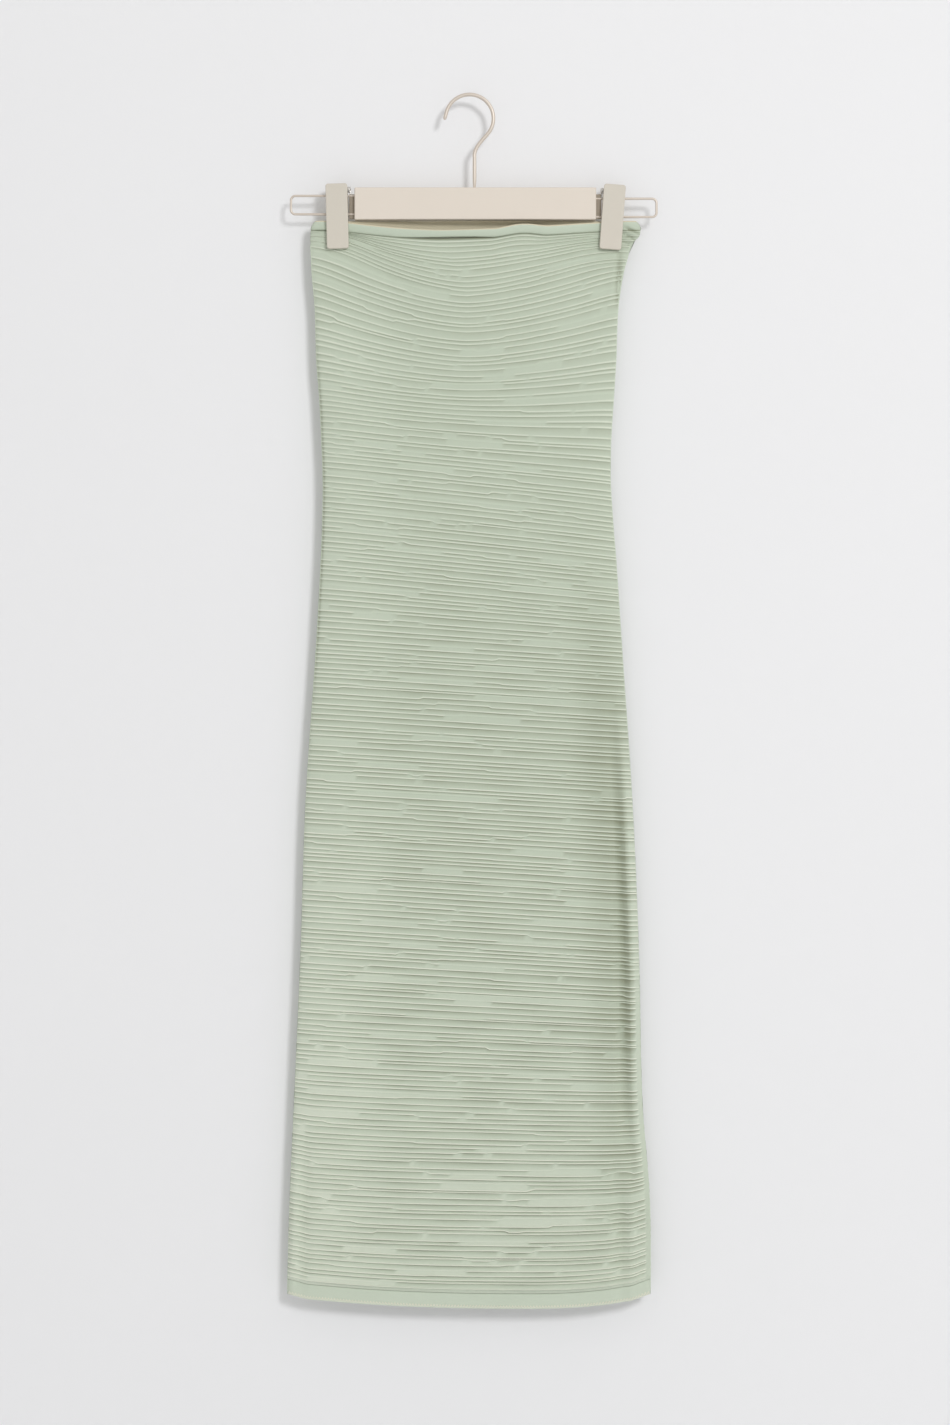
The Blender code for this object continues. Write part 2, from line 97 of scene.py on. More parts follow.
# How a course lies on the front: its drop where it is lowest, how far its left
# and its right end are drawn up, its slope down to the right over the whole
# width, the share where it is fully drawn up, the power of that curve, and the
# share where it is lowest
COURSES = (
    (144.5, 10.3, 10.3, 0.0, 0.85, 1.6, -0.20),
    (165.5, 29.0, 22.0, 1.0, 0.81, 1.6, -0.10),
    (193.0, 44.0, 30.0, 2.0, 0.84, 1.6, 0.00),
    (212.0, 47.0, 39.0, 3.0, 1.00, 1.6, 0.00),
    (228.5, 46.0, 40.0, 5.0, 1.08, 1.6, 0.00),
    (259.5, 35.0, 32.0, 5.0, 1.10, 1.6, 0.00),
    (296.5, 19.0, 17.0, 7.0, 1.10, 1.7, 0.00),
    (333.5, 6.0, 5.0, 20.0, 1.00, 2.0, 0.00),
    (383.5, 0.0, 0.0, 30.0, 1.00, 2.0, 0.00),
    (489.5, 0.0, 0.0, 28.0, 1.00, 2.0, 0.00),
    (559.5, 0.0, 0.0, 20.0, 1.00, 2.0, 0.00),
    (860.5, 0.0, 0.0, 20.0, 1.00, 2.0, 0.00),
    (998.5, 2.0, 2.0, 12.0, 1.00, 3.0, 0.00),
    (1067.5, 4.0, 4.0, 8.0, 1.00, 3.0, 0.10),
    (1162.5, 9.0, 9.0, 2.0, 1.00, 2.6, 0.26),
    (1195.0, 11.0, 12.0, 1.0, 1.00, 2.4, 0.30),
)
# How far the courses curl up at the side seams, from which share on, and the drops
# where the curl starts and is whole
EDGE_CURL = 3.0
EDGE_CURL_FROM = 0.88
EDGE_CURL_STARTS = 940.0
EDGE_CURL_WHOLE = 1120.0
# How much closer together the courses lie at the hem, and how softly a course
# levels off where it is fully drawn up
COURSES_CLOSER_AT_HEM = 0.2
COURSE_TURN = 0.22

# Half the depth of the flattened tube: drop, half depth
FULLNESS = (
    (120.0, 8.8),
    (380.0, 8.2),
    (860.0, 9.2),
    (1215.0, 9.4),
)

# Long soft folds down the front: share, half width as a share, the drops where it
# starts and ends, depth (a negative depth is a ridge)
FRONT_FOLDS = (
    (0.90, 0.10, 158.0, 225.0, 0.8),
    (0.895, 0.055, 590.0, 1130.0, 6.4),
    (0.952, 0.048, 590.0, 1150.0, -8.0),
    (0.830, 0.060, 1040.0, 1212.0, 4.6),
    (0.900, 0.055, 1050.0, 1212.0, -3.0),
    (-0.925, 0.050, 1020.0, 1215.0, 3.4),
    (-0.978, 0.036, 1020.0, 1215.0, -4.5),
    (-0.42, 0.30, 165.0, 290.0, 1.0),
)

# Painted shade along the folds of the front, and painted light where the tone is
# less than 0: share, half width as a share, the drops where it starts, is whole,
# is whole no more and ends, tone
FOLD_PAINTED_LIGHT_AND_SHADE = (
    (0.860, 0.260, 400.0, 700.0, 1050.0, 1190.0, 0.37),
    (0.922, 0.050, 620.0, 750.0, 930.0, 1060.0, 0.37),
    (0.985, 0.050, 590.0, 720.0, 1020.0, 1150.0, -0.35),
    (-0.990, 0.014, 230.0, 300.0, 520.0, 620.0, 0.55),
    (-0.800, 0.450, 150.0, 280.0, 1220.0, 1230.0, -0.12),
    (-0.800, 0.450, 690.0, 820.0, 1220.0, 1230.0, -0.12),
)

# Creases in the cloth: x and drop of one end, x and drop of the other, half
# width, depth (a negative depth is a soft ridge)
FRONT_CREASES = (
    (-121.0, 141.0, -44.0, 172.0, 4.5, 1.5),
    (-123.0, 153.0, -52.0, 197.0, 5.5, 1.2),
    (-150.0, 160.0, -92.0, 190.0, 6.0, -0.6),
    (-112.0, 205.0, -30.0, 262.0, 12.0, 0.7),
    (124.0, 148.0, 62.0, 172.0, 5.0, 0.9),
    (128.0, 164.0, 70.0, 204.0, 7.0, 0.7),
    (150.5, 150.0, 147.5, 214.0, 2.6, 2.4),
    (145.0, 158.0, 140.0, 206.0, 4.0, -0.9),
    (139.0, 160.0, 118.0, 232.0, 6.0, -0.5),
    (152.5, 130.0, 172.0, 138.5, 1.3, 2.2),
    (152.5, 133.0, 171.0, 142.0, 1.4, -1.8),
    (152.5, 136.5, 170.0, 146.0, 1.3, 2.2),
    (152.5, 140.5, 167.0, 149.0, 1.4, -1.5),
    (152.5, 144.0, 164.0, 151.5, 1.2, 1.8),
    (150.0, 505.0, 96.0, 560.0, 9.0, 0.5),
    (-150.0, 720.0, -60.0, 760.0, 14.0, 0.5),
    (158.0, 860.0, 90.0, 930.0, 12.0, 0.6),
)
BACK_CREASES = (
    (-120.0, 150.0, -64.0, 176.0, 6.0, 0.9),
    (-124.0, 166.0, -84.0, 230.0, 7.0, 0.7),
    (118.0, 146.0, 70.0, 182.0, 5.0, 0.9),
    (126.0, 168.0, 96.0, 236.0, 8.0, 0.7),
    (-146.0, 480.0, -90.0, 545.0, 10.0, 0.6),
    (60.0, 700.0, 150.0, 640.0, 14.0, 0.6),
    (-160.0, 960.0, -80.0, 1010.0, 13.0, 0.7),
    (150.0, 1010.0, 166.0, 1150.0, 7.0, 0.9),
)
# How quickly a crease runs out at its ends
CREASE_END_POWER = 0.8
# In creases of the front that are narrower than this, shade is painted into the colour
SHARP_CREASE = 2.8
CREASE_PAINTED_SHADE = 0.3

# A wave lifts the front of the neck band and the courses just under it
NECK_WAVE_SHARE = 0.28
NECK_WAVE_HALF_WIDTH = 0.17
NECK_WAVE_LIFT = 3.2
NECK_WAVE_FADES_BY = 176.0

# The ripples of one side: how many, how much wider apart they are at the neck and
# down to which share of the height, and how uneven their spacing is
RIPPLE_COUNT = 210
RIPPLES_WIDER_AT_NECK = 0.03
NECK_RIPPLES_END = 0.3
RIPPLES_UNEVEN = 0.14

# The two sides of the tube, with the seed of each one's ripples
SIDES = {"front": (FRONT, 11), "back": (BACK, 23)}

# One repeat of the ripples. Each row has the height, the share of a mean spacing,
# and the shares that it runs between. The shift is how far each repeat is moved
# sideways against the one above it.
RIPPLE_SHIFT = 0.74
RIPPLES = (
    (0.9, 1.15, -1.0, 1.0),
    (0.9, 0.70, -1.0, 0.7),
    (0.9, 1.30, -1.0, 1.0),
    (0.8, 0.80, -1.0, 1.0),
    (0.9, 0.85, -1.0, 1.0),
    (0.8, 0.70, -0.6, 1.0),
    (0.9, 1.40, -1.0, 1.0),
    (0.9, 0.85, -1.0, 1.0),
    (0.8, 0.70, -1.0, 0.5),
    (0.9, 1.30, -1.0, 1.0),
    (0.8, 0.80, -1.0, 1.0),
    (0.9, 0.75, -0.1, 1.0),
    (0.9, 1.35, -1.0, 1.0),
    (0.8, 0.75, -1.0, 1.0),
    (0.9, 1.15, -1.0, 1.0),
    (0.8, 0.75, -0.7, 0.8),
    (0.9, 1.20, -1.0, 1.0),
    (0.9, 0.80, -1.0, 1.0),
    (0.8, 1.35, -1.0, 1.0),
    (0.9, 0.80, -1.0, 0.6),
)
# Every second one of the first ripples stops short of the left seam
CROWDED_RIPPLES = 12
CROWDED_FROM = -0.92
CROWDED_UNTIL = -0.85
# Where a ripple's crest is in its spacing, what is left of its height where it has
# stopped, and over which share of the width it runs out
RIPPLE_CREST = 0.5
RIPPLE_LOW = 0.12
RIPPLE_TAPER = 0.014

# How far the ripples stand out and how strong their painted highlight and shade are,
# from the neck to the hem, and what is left of that painting on the last one
NECK_RELIEF = 0.95
HEM_RELIEF = 1.9
NECK_TONE = 0.68
HEM_TONE = 1.75
LAST_RIPPLE_TONE = 0.35
# How much lighter the colour is made down the body, more towards the hem: course, tone
BODY_TONES = (
    (0.00, 0.00),
    (0.24, -0.02),
    (0.40, -0.02),
    (0.50, 0.04),
    (0.60, 0.11),
    (0.71, 0.17),
    (0.82, 0.28),
    (1.00, 0.37),
)
RIDGE_WIDTH_OF_SPACING = 0.44
# The ripples lie flatter where they turn into the side seams
FLATTER_FROM = 0.967
FLATTER_BY = 0.6

# Section of one ripple: place across its half width, height, and how much
# lighter (1) or darker (-1) its colour is painted, as a painted highlight on its
# upper side and painted shade under it
RIDGE_SECTION = (
    (-1.0, 0.0, 0.0),
    (-0.5, 0.85, 0.9),
    (0.05, 1.0, 0.8),
    (0.5, 0.4, -1.0),
    (1.0, 0.0, -0.5),
)

# Side steps of one ripple: how many at most, half the length of one, how far out
# they go, how high they are, and the level where the ripple starts at most
JOGS_AT_MOST = 4
JOG_LENGTH = 0.016
JOGS_WITHIN = 0.98
JOG_RISES = (0.6, 1.5)
FIRST_LEVEL = 0.5
# The share of steps where the ripple breaks, and the break's length and depth
BREAKS_AT_JOGS = 0.6
BREAK_LENGTH = 0.03
BREAK_DEPTH = 0.9
# The share of ripples with a gap, how far out it starts, and how long it is
GAPS = 0.10
GAPS_WITHIN = 0.9
GAP_LENGTHS = (0.05, 0.4)
# Slow waves in the level and the height of a ripple: size, and how fast they turn
WANDER = 0.1
WANDER_WAVES = (2, 6)
UNEVEN_HEIGHT = 0.14
UNEVEN_WAVES = (5, 16)
WAVE_STARTS = (0, 6)

# Mesh columns of a panel: over its middle and how far out they go, at each side
# and how they crowd towards the seam. Then the rows inside, and a band's columns.
MIDDLE_COLUMNS = 75
MIDDLE_SHARE = 0.9
SIDE_COLUMNS = 8
SIDE_CROWDING = 1.6
INSIDE_ROWS = 24
BAND_COLUMNS = 260

# Neck band: a folded strip whose lower edge stands off the cloth at the middle
NECK_BAND_WALL = 3.0
NECK_BAND_HEIGHT = 9.4
NECK_BAND_PROUD = 0.8
NECK_BAND_ROLL = 0.9
NECK_GAP_SHARE = -0.13
NECK_GAP_HALF_WIDTH = 0.36
NECK_GAP = 2.3
NECK_BAND_BACK_RISE = 2.2
NECK_TUCK = 2.4
# The points round a band's section, and how square its corners are
NECK_BAND_SECTION = (32, 4)
HEM_BAND_SECTION = (24, 7)
# Shares of the neck band's wall and height where the cream inner side shows: its
# top rim and its inner face
NECK_RIM_HEIGHT = 0.2
NECK_RIM_WALL = 0.96
NECK_INNER_WALL = 0.25
# How much lighter or darker the colour of a band is made: share down its height,
# tone. The neck band gets a painted highlight along its top and painted shade
# towards its bottom; the hem band is made darker at its top edge and lighter below.
NECK_BAND_LIGHT_AND_SHADE = ((0.0, 0.5), (0.12, 0.18), (0.4, 0.0), (0.8, -0.08), (1.0, -0.35))
HEM_BAND_TONES = ((0.0, -0.2), (0.08, 0.12), (0.9, 0.16), (1.0, 0.6))

# Hem band
HEM_BAND_WALL = 2.2
HEM_BAND_HEIGHT = 15.0
HEM_BAND_PROUD = 0.3

# The overlock thread zigzags from the face of the hem band to its lower edge
OVERLOCK_THREAD = 0.75
OVERLOCK_STITCHES = 120
OVERLOCK_POINTS = 4
OVERLOCK_REACH = 0.995
OVERLOCK_BITE = 3.4
OVERLOCK_BELOW = 0.1
OVERLOCK_PROUD = 0.12
OVERLOCK_WRAP = 0.45
OVERLOCK_SIDES = 5
# A thread or wire that starts more along y than this is turned by z, not by y
ALONG_Y = 0.9

# Side seams: a narrow linked ridge down each side, thinner between its stitches
SEAM_THREAD = 1.7
SEAM_STITCH = 3.2
SEAM_POINTS = 4
SEAM_WAIST = 0.18
SEAM_INSET = 0.35
SEAM_BELOW_NECK = 4.0
SEAM_ABOVE_HEM = 1.0
SEAM_SIDES = 10
# The dress hangs a little turned, so a plain strip along its right seam shows
SEAM_TURNS_FROM = 820.0
SEAM_TURNED_BY = 930.0
SEAM_PLAIN_FROM = 0.966
SEAM_PLAIN_WHOLE = 0.978

# Hanger: the bar with its two tabs, and how far the wires and tabs go into it
BAR_LEFT = -114.9
BAR_RIGHT = 126.5
BAR_TOP = -91.8
BAR_BOTTOM = -123.9
BAR_THICKNESS = 12.0
BAR_CORNER = 1.0
BAR_RIM = 1.2
TAB_LEFT = -120.2
TAB_RIGHT = 131.6
TAB_TOP = -98.0
TAB_BOTTOM = -122.6
TAB_THICKNESS = 1.8
TAB_RIM = 0.4
TAB_INTO_BAR = 2.0
WIRE_INTO_BAR = 7.0
HOOK_INTO_BAR = 2.0
# The hook: its arc, straight tip, bend at the throat and shank
HOOK_WIRE = 3.8
HOOK_RADIUS = 23.9
HOOK_SHANK_X = 5.0
HOOK_SHANK_TOP = -62.0
HOOK_TIP_ANGLE = 165.0
HOOK_TIP_LENGTH = 8.0
HOOK_TIP_STARTS = 0.4
HOOK_THROAT_ANGLE = -38.0
HOOK_BEND_PULL = 0.6
HOOK_STEP_BELOW_BEND = 2.0
LOOP_WIRE = 2.4
LOOP_CORNER = 4.5
WIRE_SIDES = 20
# The points along the wires: the hook's arc, its bend and its two ends, and a
# loop's runs and corners
HOOK_ARC_POINTS = 72
HOOK_BEND_POINTS = 30
HOOK_END_POINTS = 12
LOOP_RUN_POINTS = 23
LOOP_CORNER_STEPS = 12
# The points over which a wire's end is rounded, and how far the first one is open
WIRE_END_POINTS = 5
WIRE_END_OPEN = 0.2
# Each wire loop: outer end, bar end, upper run and lower run
LOOPS = {
    "left": (-178.5, -120.6, -99.5, -117.9),
    "right": (187.0, 132.0, -102.3, -120.6),
}
# The clips: two flat jaws, a core block between them and a coiled spring
JAW_WIDTH = 21.8
JAW_HEIGHT = 65.0
JAW_THICKNESS = 4.5
JAW_HALF_GAP = 3.6
JAW_CORNER = 2.6
JAW_RIM = 0.9
CORE_WIDTH = 17.0
CORE_CORNER = 1.0
CORE_RIM = 0.5
SPRING_WIRE = 1.1
SPRING_TURN = 1.35
SPRING_OVERHANG = 3.6
SPRING_SHORTER_THAN_JAW = 1.0
SPRING_DROP_FROM_TOP = 5.2
SPRING_LEG = 9.0
SPRING_TURN_POINTS = 20
SPRING_LEG_POINTS = 9
SPRING_SIDES = 7
# How many steps round the corners and the rims of the moulded parts
CORNER_STEPS = 4
TAB_CORNER_STEPS = 3
JAW_CORNER_STEPS = 8
RIM_STEPS = 4
# How much the flat faces of a moulded part keep their own shading
FLAT_FACE_WEIGHT = 100
# Each clip: middle of its width, middle of its height, and its lean in degrees
CLIPS = {
    "left": (-132.1, -120.7, -1.4),
    "right": (142.8, -121.5, 4.3),
}

# Finishes, as linear colours
YARN = (0.564, 0.630, 0.512, 1.0)
# Light and dark yarn for the fibres' own variation, and the colours of painted highlight and shade
YARN_LIGHT_AND_HIGHLIGHT = (0.83, 0.86, 0.74, 1.0)
YARN_DARK_AND_SHADE = (0.28, 0.30, 0.21, 1.0)
BAND_YARN = (0.545, 0.615, 0.502, 1.0)
BAND_INSIDE = (0.70, 0.64, 0.475, 1.0)
THREAD = (0.80, 0.76, 0.64, 1.0)
# How strongly the stored painted light and shade move the colour
PAINTED_TONE_STRENGTH = 0.85
BAR_PLASTIC = (0.71, 0.64, 0.56, 1.0)
CLIP_PLASTIC = (0.59, 0.55, 0.475, 1.0)
# The tabs are coloured dark brown as painted shade of the recess between bar and clip
TAB_PAINTED_SHADE = (0.30, 0.25, 0.19, 1.0)
ENAMEL = (0.62, 0.55, 0.48, 1.0)
STEEL = (0.86, 0.85, 0.83, 1.0)
WALL_PAINT = (0.815, 0.815, 0.825, 1.0)
WALL_CLOUD = (0.7946, 0.7946, 0.8044, 1.0)
FLOOR_PAINT = (0.78, 0.78, 0.78, 1.0)

# Stitches of the knit, in metres: the width and how far they stand out. A stitch
# is a little less high than wide, and its strands lie at a slant.
BODY_STITCH = (0.0011, 0.0003)
BAND_STITCH = (0.0010, 0.0002)
STITCH_HEIGHT_SHARE = 0.8
STITCH_SLANT = 1.6
STITCH_ROUNDNESS = 0.6
STRAND_RELIEF = 0.55

# Grain of the finishes: repeats in each metre, one number or one for each axis
SLACK_GRAIN = 260.0
FIBRE_GRAIN = (180.0, 900.0, 1.0)
YARN_PATCHES = (14.0, 34.0, 1.0)
PLASTIC_GRAIN = 2600.0
PLASTIC_MOTTLE = 34.0
PLASTIC_SCRATCHES = (120.0, 900.0, 1500.0)
WIRE_SPOTS = 420.0
WIRE_LINES = (3000.0, 3000.0, 200.0)
WALL_CLOUDS = 1.3
WALL_ROLLER = 900.0
FLOOR_CLOUDS = 2.2
FLOOR_ROLLER = 700.0
# The fibres' share in the yarn's variation, how dark the painted shade in the hollows
# between its stitches is, and the strength above which a scratch shows
FIBRE_SHARE = 0.6
HOLLOW_SHADE = 0.12
SCRATCH_SHOWS_FROM = 0.66
SCRATCH_DEPTH = -0.5
# Roughness of the knit, and how much fuzz, mottling and dull spots change that of
# the knit, the plastic and the wire
KNIT_ROUGHNESS = 0.75
FUZZ_ROUGHENS = 0.2
MOTTLE_ROUGHENS = 0.2
SPOTS_ROUGHEN = 0.25

# Stage, camera and light, in metres
WALL_Y = 0.0195
WALL_HALF_WIDTH = 2.4
WALL_TOP = 1.3
FLOOR_Z = -1.42
FLOOR_DEPTH = 2.6
CAMERA_PLACE = (0.0055, -3.0, -0.616)
CAMERA_LENS = 75.8
CAMERA_SEES_TO = 20.0
# Each light: its place, width and power, and the point that it is turned to
LIGHTS = {
    "key_light": ((2.1, -4.7, 1.5), 1.1, 119.0, (0.0, 0.0, -0.62)),
    "low_fill_light": ((-0.5, -3.2, -1.3), 1.6, 6.0, (0.0, 0.0, -1.2)),
    "back_light": ((-1.7, 4.3, 0.9), 2.2, 60.0, (0.0, 0.0, -0.62)),
}
COOL_LIGHT = (0.985, 0.99, 1.0)
SKY_COLOUR = (1.0, 0.993, 0.975, 1.0)
SKY_STRENGTH = 0.62


# Shapes of the cloth

def smooth_at(rows, drop, column):
    """One column of a table at each drop, on a smooth curve through its rows."""
    table = np.array(rows)
    knots = table[:, 0]
    values = table[:, column]
    order = np.arange(len(knots))
    before = np.maximum(order - 1, 0)
    after = np.minimum(order + 1, len(knots) - 1)
    slopes = (values[after] - values[before]) / (knots[after] - knots[before])
    drop = np.clip(drop, knots[0], knots[-1])
    i = np.clip(np.searchsorted(knots, drop) - 1, 0, len(knots) - 2)
    span = knots[i + 1] - knots[i]
    t = (drop - knots[i]) / span
    start = (2 * t**3 - 3 * t**2 + 1) * values[i] + (t**3 - 2 * t**2 + t) * span * slopes[i]
    end = (-2 * t**3 + 3 * t**2) * values[i + 1] + (t**3 - t**2) * span * slopes[i + 1]
    return start + end


def ease(value, start, end):
    """0 before start, 1 after end, and a smooth step between them."""
    t = np.clip((value - start) / (end - start), 0.0, 1.0)
    return t * t * (3 - 2 * t)


def swell(value, centre, half_width):
    """1 at the centre, and smoothly 0 at the half width on both sides."""
    return np.maximum(0.0, 1 - ((value - centre) / half_width) ** 2) ** 2


def level_off(value):
    """The value up to a start, then a smooth turn to 1."""
    turning = 1 - (1 + COURSE_TURN - value) ** 2 / (4 * COURSE_TURN)
    turned = np.where(value < 1 + COURSE_TURN, turning, 1.0)
    return np.where(value < 1 - COURSE_TURN, value, turned)


def neck_wave(share, middle):
    """How far the wave in the neck lifts a course."""
    lift = NECK_WAVE_LIFT * swell(share, NECK_WAVE_SHARE, NECK_WAVE_HALF_WIDTH)
    return lift * (1 - ease(middle, BODY_TOP, NECK_WAVE_FADES_BY))


def course_at(length):
    """The course at a share of the body's length at the middle."""
    whole = 1 + COURSES_CLOSER_AT_HEM
    root = np.sqrt(whole**2 - 4 * COURSES_CLOSER_AT_HEM * length)
    return (whole - root) / (2 * COURSES_CLOSER_AT_HEM)


def course_drop(course, share, side):
    """The drop of a course at a share across the width."""
    stretch = course + COURSES_CLOSER_AT_HEM * course * (1 - course)
    middle = BODY_TOP + (BODY_BOTTOM - BODY_TOP) * stretch
    left, right, slope, reach, power, lowest = (smooth_at(COURSES, middle, k) for k in range(1, 7))
    drawn_up = left + (right - left) * (share + 1) / 2
    run = np.where(share < lowest, reach + lowest, reach - lowest)
    curve = level_off(np.abs(share - lowest) / run) ** power
    curl = EDGE_CURL * ease(np.abs(share), EDGE_CURL_FROM, 1.0)
    middle = middle - curl * ease(middle, EDGE_CURL_STARTS, EDGE_CURL_WHOLE)
    if side == FRONT:
        return middle - drawn_up * curve + slope * share / 2 - neck_wave(share, middle)
    fade = ease(middle, BODY_TOP, BACK_SCOOP_FADES_BY)
    scoop = BACK_SCOOP_AT_NECK + (LOWER_BACK_SCOOP - BACK_SCOOP_AT_NECK) * fade
    return middle - drawn_up * (1 - scoop * (1 - curve)) + slope * share / 2


def fold_depth(share, drop):
    """The depth of the long soft folds of the front."""
    total = np.zeros(np.broadcast(share, drop).shape)
    for centre, half_width, start, end, depth in FRONT_FOLDS:
        along = np.sin(np.pi * np.clip((drop - start) / (end - start), 0.0, 1.0))
        total += depth * swell(share, centre, half_width) * along
    return total


def fold_painted_light_and_shade(share, drop):
    """The painted shade along the long soft folds of the front, painted light below 0."""
    total = np.zeros(np.broadcast(share, drop).shape)
    for centre, half_width, start, whole, until, end, tone in FOLD_PAINTED_LIGHT_AND_SHADE:
        along = ease(drop, start, whole) * (1 - ease(drop, until, end))
        total += tone * swell(share, centre, half_width) * along
    return total


def crease_depth(creases, x, drop):
    """The depth of the creases at a place of the cloth."""
    total = np.zeros(np.broadcast(x, drop).shape)
    for x0, drop0, x1, drop1, half_width, depth in creases:
        length = math.hypot(x1 - x0, drop1 - drop0)
        along = ((x - x0) * (x1 - x0) + (drop - drop0) * (drop1 - drop0)) / length
        across = ((x - x0) * (drop1 - drop0) - (drop - drop0) * (x1 - x0)) / length
        ends = np.sin(np.pi * np.clip(along / length, 0.0, 1.0)) ** CREASE_END_POWER
        total += depth * ends * np.exp(-((across / half_width) ** 2))
    return total


def painted_crease_shade(points, side):
    """How much painted shade darkens points in the sharp creases of the front."""
    sharp = [crease for crease in FRONT_CREASES if side == FRONT and crease[4] < SHARP_CREASE]
    x = points[:, :, 0] / MM
    drop = -points[:, :, 2] / MM
    return CREASE_PAINTED_SHADE * np.maximum(0.0, crease_depth(sharp, x, drop))


def neck_bow(share):
    """How far the neck bows away from the other side between the clips."""
    return np.maximum(0.0, 1 - (share / NECK_BOW_SHARE) ** 2)


def wall_points(share, drop, inset, side):
    """Points of the tube's wall in metres. The inset is measured inwards from the
    wall's smooth outer face."""
    left = smooth_at(OUTLINE, drop, 1)
    right = smooth_at(OUTLINE, drop, 2)
    narrowed = inset * ease(np.abs(share), NARROWED_FROM, 1.0)
    x = (left + right) / 2 + share * ((right - left) / 2 - narrowed)
    free = ease(drop, CLIPPED_UNTIL, RELAXED_FROM)
    size = np.minimum(1.0, np.abs(share))
    at_neck = np.sqrt(1 - size**NECK_ROUNDING)
    at_body = np.sqrt(1 - size**SIDE_ROUNDING)
    roundness = at_neck + (at_body - at_neck) * free
    neck = CLIPPED_HALF_DEPTH + NECK_BOW * neck_bow(share)
    depth = neck + (smooth_at(FULLNESS, drop, 1) - neck) * free
    if side == FRONT:
        depth = depth - fold_depth(share, drop) - crease_depth(FRONT_CREASES, x, drop)
    else:
        depth = depth - crease_depth(BACK_CREASES, x, drop)
    y = side * np.maximum(CLEARANCE / 2, (depth - inset) * roundness)
    x, y, z = np.broadcast_arrays(x, y, -drop)
    return np.stack((x, y, z), axis=-1) * MM


def cloth_shares():
    """The mesh columns across a panel, closer together where the sides turn."""
    step = np.arange(1, SIDE_COLUMNS + 1) / SIDE_COLUMNS
    right = 1 - (1 - MIDDLE_SHARE) * (1 - step) ** SIDE_CROWDING
    middle = np.linspace(-MIDDLE_SHARE, MIDDLE_SHARE, MIDDLE_COLUMNS)
    return np.concatenate((-right[::-1], middle, right))


def slow_wave(shares, waves, chance):
    """A wave across the cloth from -1 to 1, of a chance length and start."""
    return np.sin(shares * chance.uniform(*waves) + chance.uniform(*WAVE_STARTS))


def shown_between(shares, start, end):
    """1 between two shares, with a short taper outside each."""
    rise = ease(shares, start - RIPPLE_TAPER, start)
    return rise * (1 - ease(shares, end, end + RIPPLE_TAPER))


def jogs(shares, chance):
    """Where one ripple steps up and down as it crosses the cloth, from -1 to 1,
    and how much of its height is left where it breaks at a step."""
    level = np.full(len(shares), chance.uniform(-FIRST_LEVEL, FIRST_LEVEL))
    left = np.ones(len(shares))
    for _ in range(chance.integers(0, JOGS_AT_MOST + 1)):
        place = chance.uniform(-JOGS_WITHIN, JOGS_WITHIN)
        step = chance.choice((-1, 1)) * chance.uniform(*JOG_RISES)
        level += step * ease(shares, place - JOG_LENGTH, place + JOG_LENGTH)
        if chance.random() < BREAKS_AT_JOGS:
            left *= 1 - BREAK_DEPTH * swell(shares, place, BREAK_LENGTH)
    level += WANDER * slow_wave(shares, WANDER_WAVES, chance)
    return np.clip(level, -1.0, 1.0), left


def presence(index, shares, chance):
    """The height of one ripple across the cloth, low where it has stopped."""
    rise, _, start, end = RIPPLES[index % len(RIPPLES)]
    shown = np.ones(len(shares))
    if (start, end) != (-1.0, 1.0):
        shifted = (shares + RIPPLE_SHIFT * (index // len(RIPPLES)) + 1) % 2 - 1
        shown = shown_between(shifted, start, end)
    if index % 2 and index < CROWDED_RIPPLES:
        shown = shown * ease(shares, CROWDED_FROM, CROWDED_UNTIL)
    if chance.random() < GAPS:
        start = chance.uniform(-GAPS_WITHIN, GAPS_WITHIN)
        end = start + chance.uniform(*GAP_LENGTHS)
        shown = shown * (1 - shown_between(shares, start, end))
    uneven = 1 + UNEVEN_HEIGHT * slow_wave(shares, UNEVEN_WAVES, chance)
    return rise * uneven * (RIPPLE_LOW + (1 - RIPPLE_LOW) * shown)


def ripple_rows(shares, chance):
    """Course, height and painted light and shade of every mesh row of a rippled face."""
    down = np.arange(RIPPLE_COUNT) / RIPPLE_COUNT
    spacings = np.array([RIPPLES[k % len(RIPPLES)][1] for k in range(RIPPLE_COUNT)])
    spacings *= 1 + RIPPLES_WIDER_AT_NECK * (1 - ease(down, 0.0, NECK_RIPPLES_END))
    spacings *= chance.uniform(1 - RIPPLES_UNEVEN, 1 + RIPPLES_UNEVEN, RIPPLE_COUNT)
    starts = course_at(np.concatenate(([0.0], np.cumsum(spacings))) / spacings.sum())
    centres = starts[:-1] + np.diff(starts) * RIPPLE_CREST
    width = RIDGE_WIDTH_OF_SPACING / RIPPLE_COUNT
    lower = ease(down, 0.0, 1.0)
    relief = NECK_RELIEF + (HEM_RELIEF - NECK_RELIEF) * lower
    toned = NECK_TONE + (HEM_TONE - NECK_TONE) * lower
    toned[-1] *= LAST_RIPPLE_TONE
    body_tones = np.interp(centres, *np.array(BODY_TONES).T)
    before = np.diff(np.concatenate(([0.0], centres)))
    after = np.diff(np.concatenate((centres, [1.0])))
    courses = []
    heights = []
    tones = []
    for index in range(RIPPLE_COUNT):
        step, left = jogs(shares, chance)
        room_up = max(0.0, before[index] - width) / 2
        room_down = max(0.0, after[index] - width) / 2
        centre = centres[index] + np.where(step < 0, step * room_up, step * room_down)
        rise = presence(index, shares, chance) * left
        for across, height, tone in RIDGE_SECTION:
            courses.append(centre + across * width / 2)
            heights.append(rise * height * relief[index])
            # Painted highlight over the ripple's upper side and painted shade under it, on the body's
            # tone
            tones.append(rise * tone * toned[index] + body_tones[index])
    return np.array(courses), np.array(heights), np.array(tones)


# Meshes

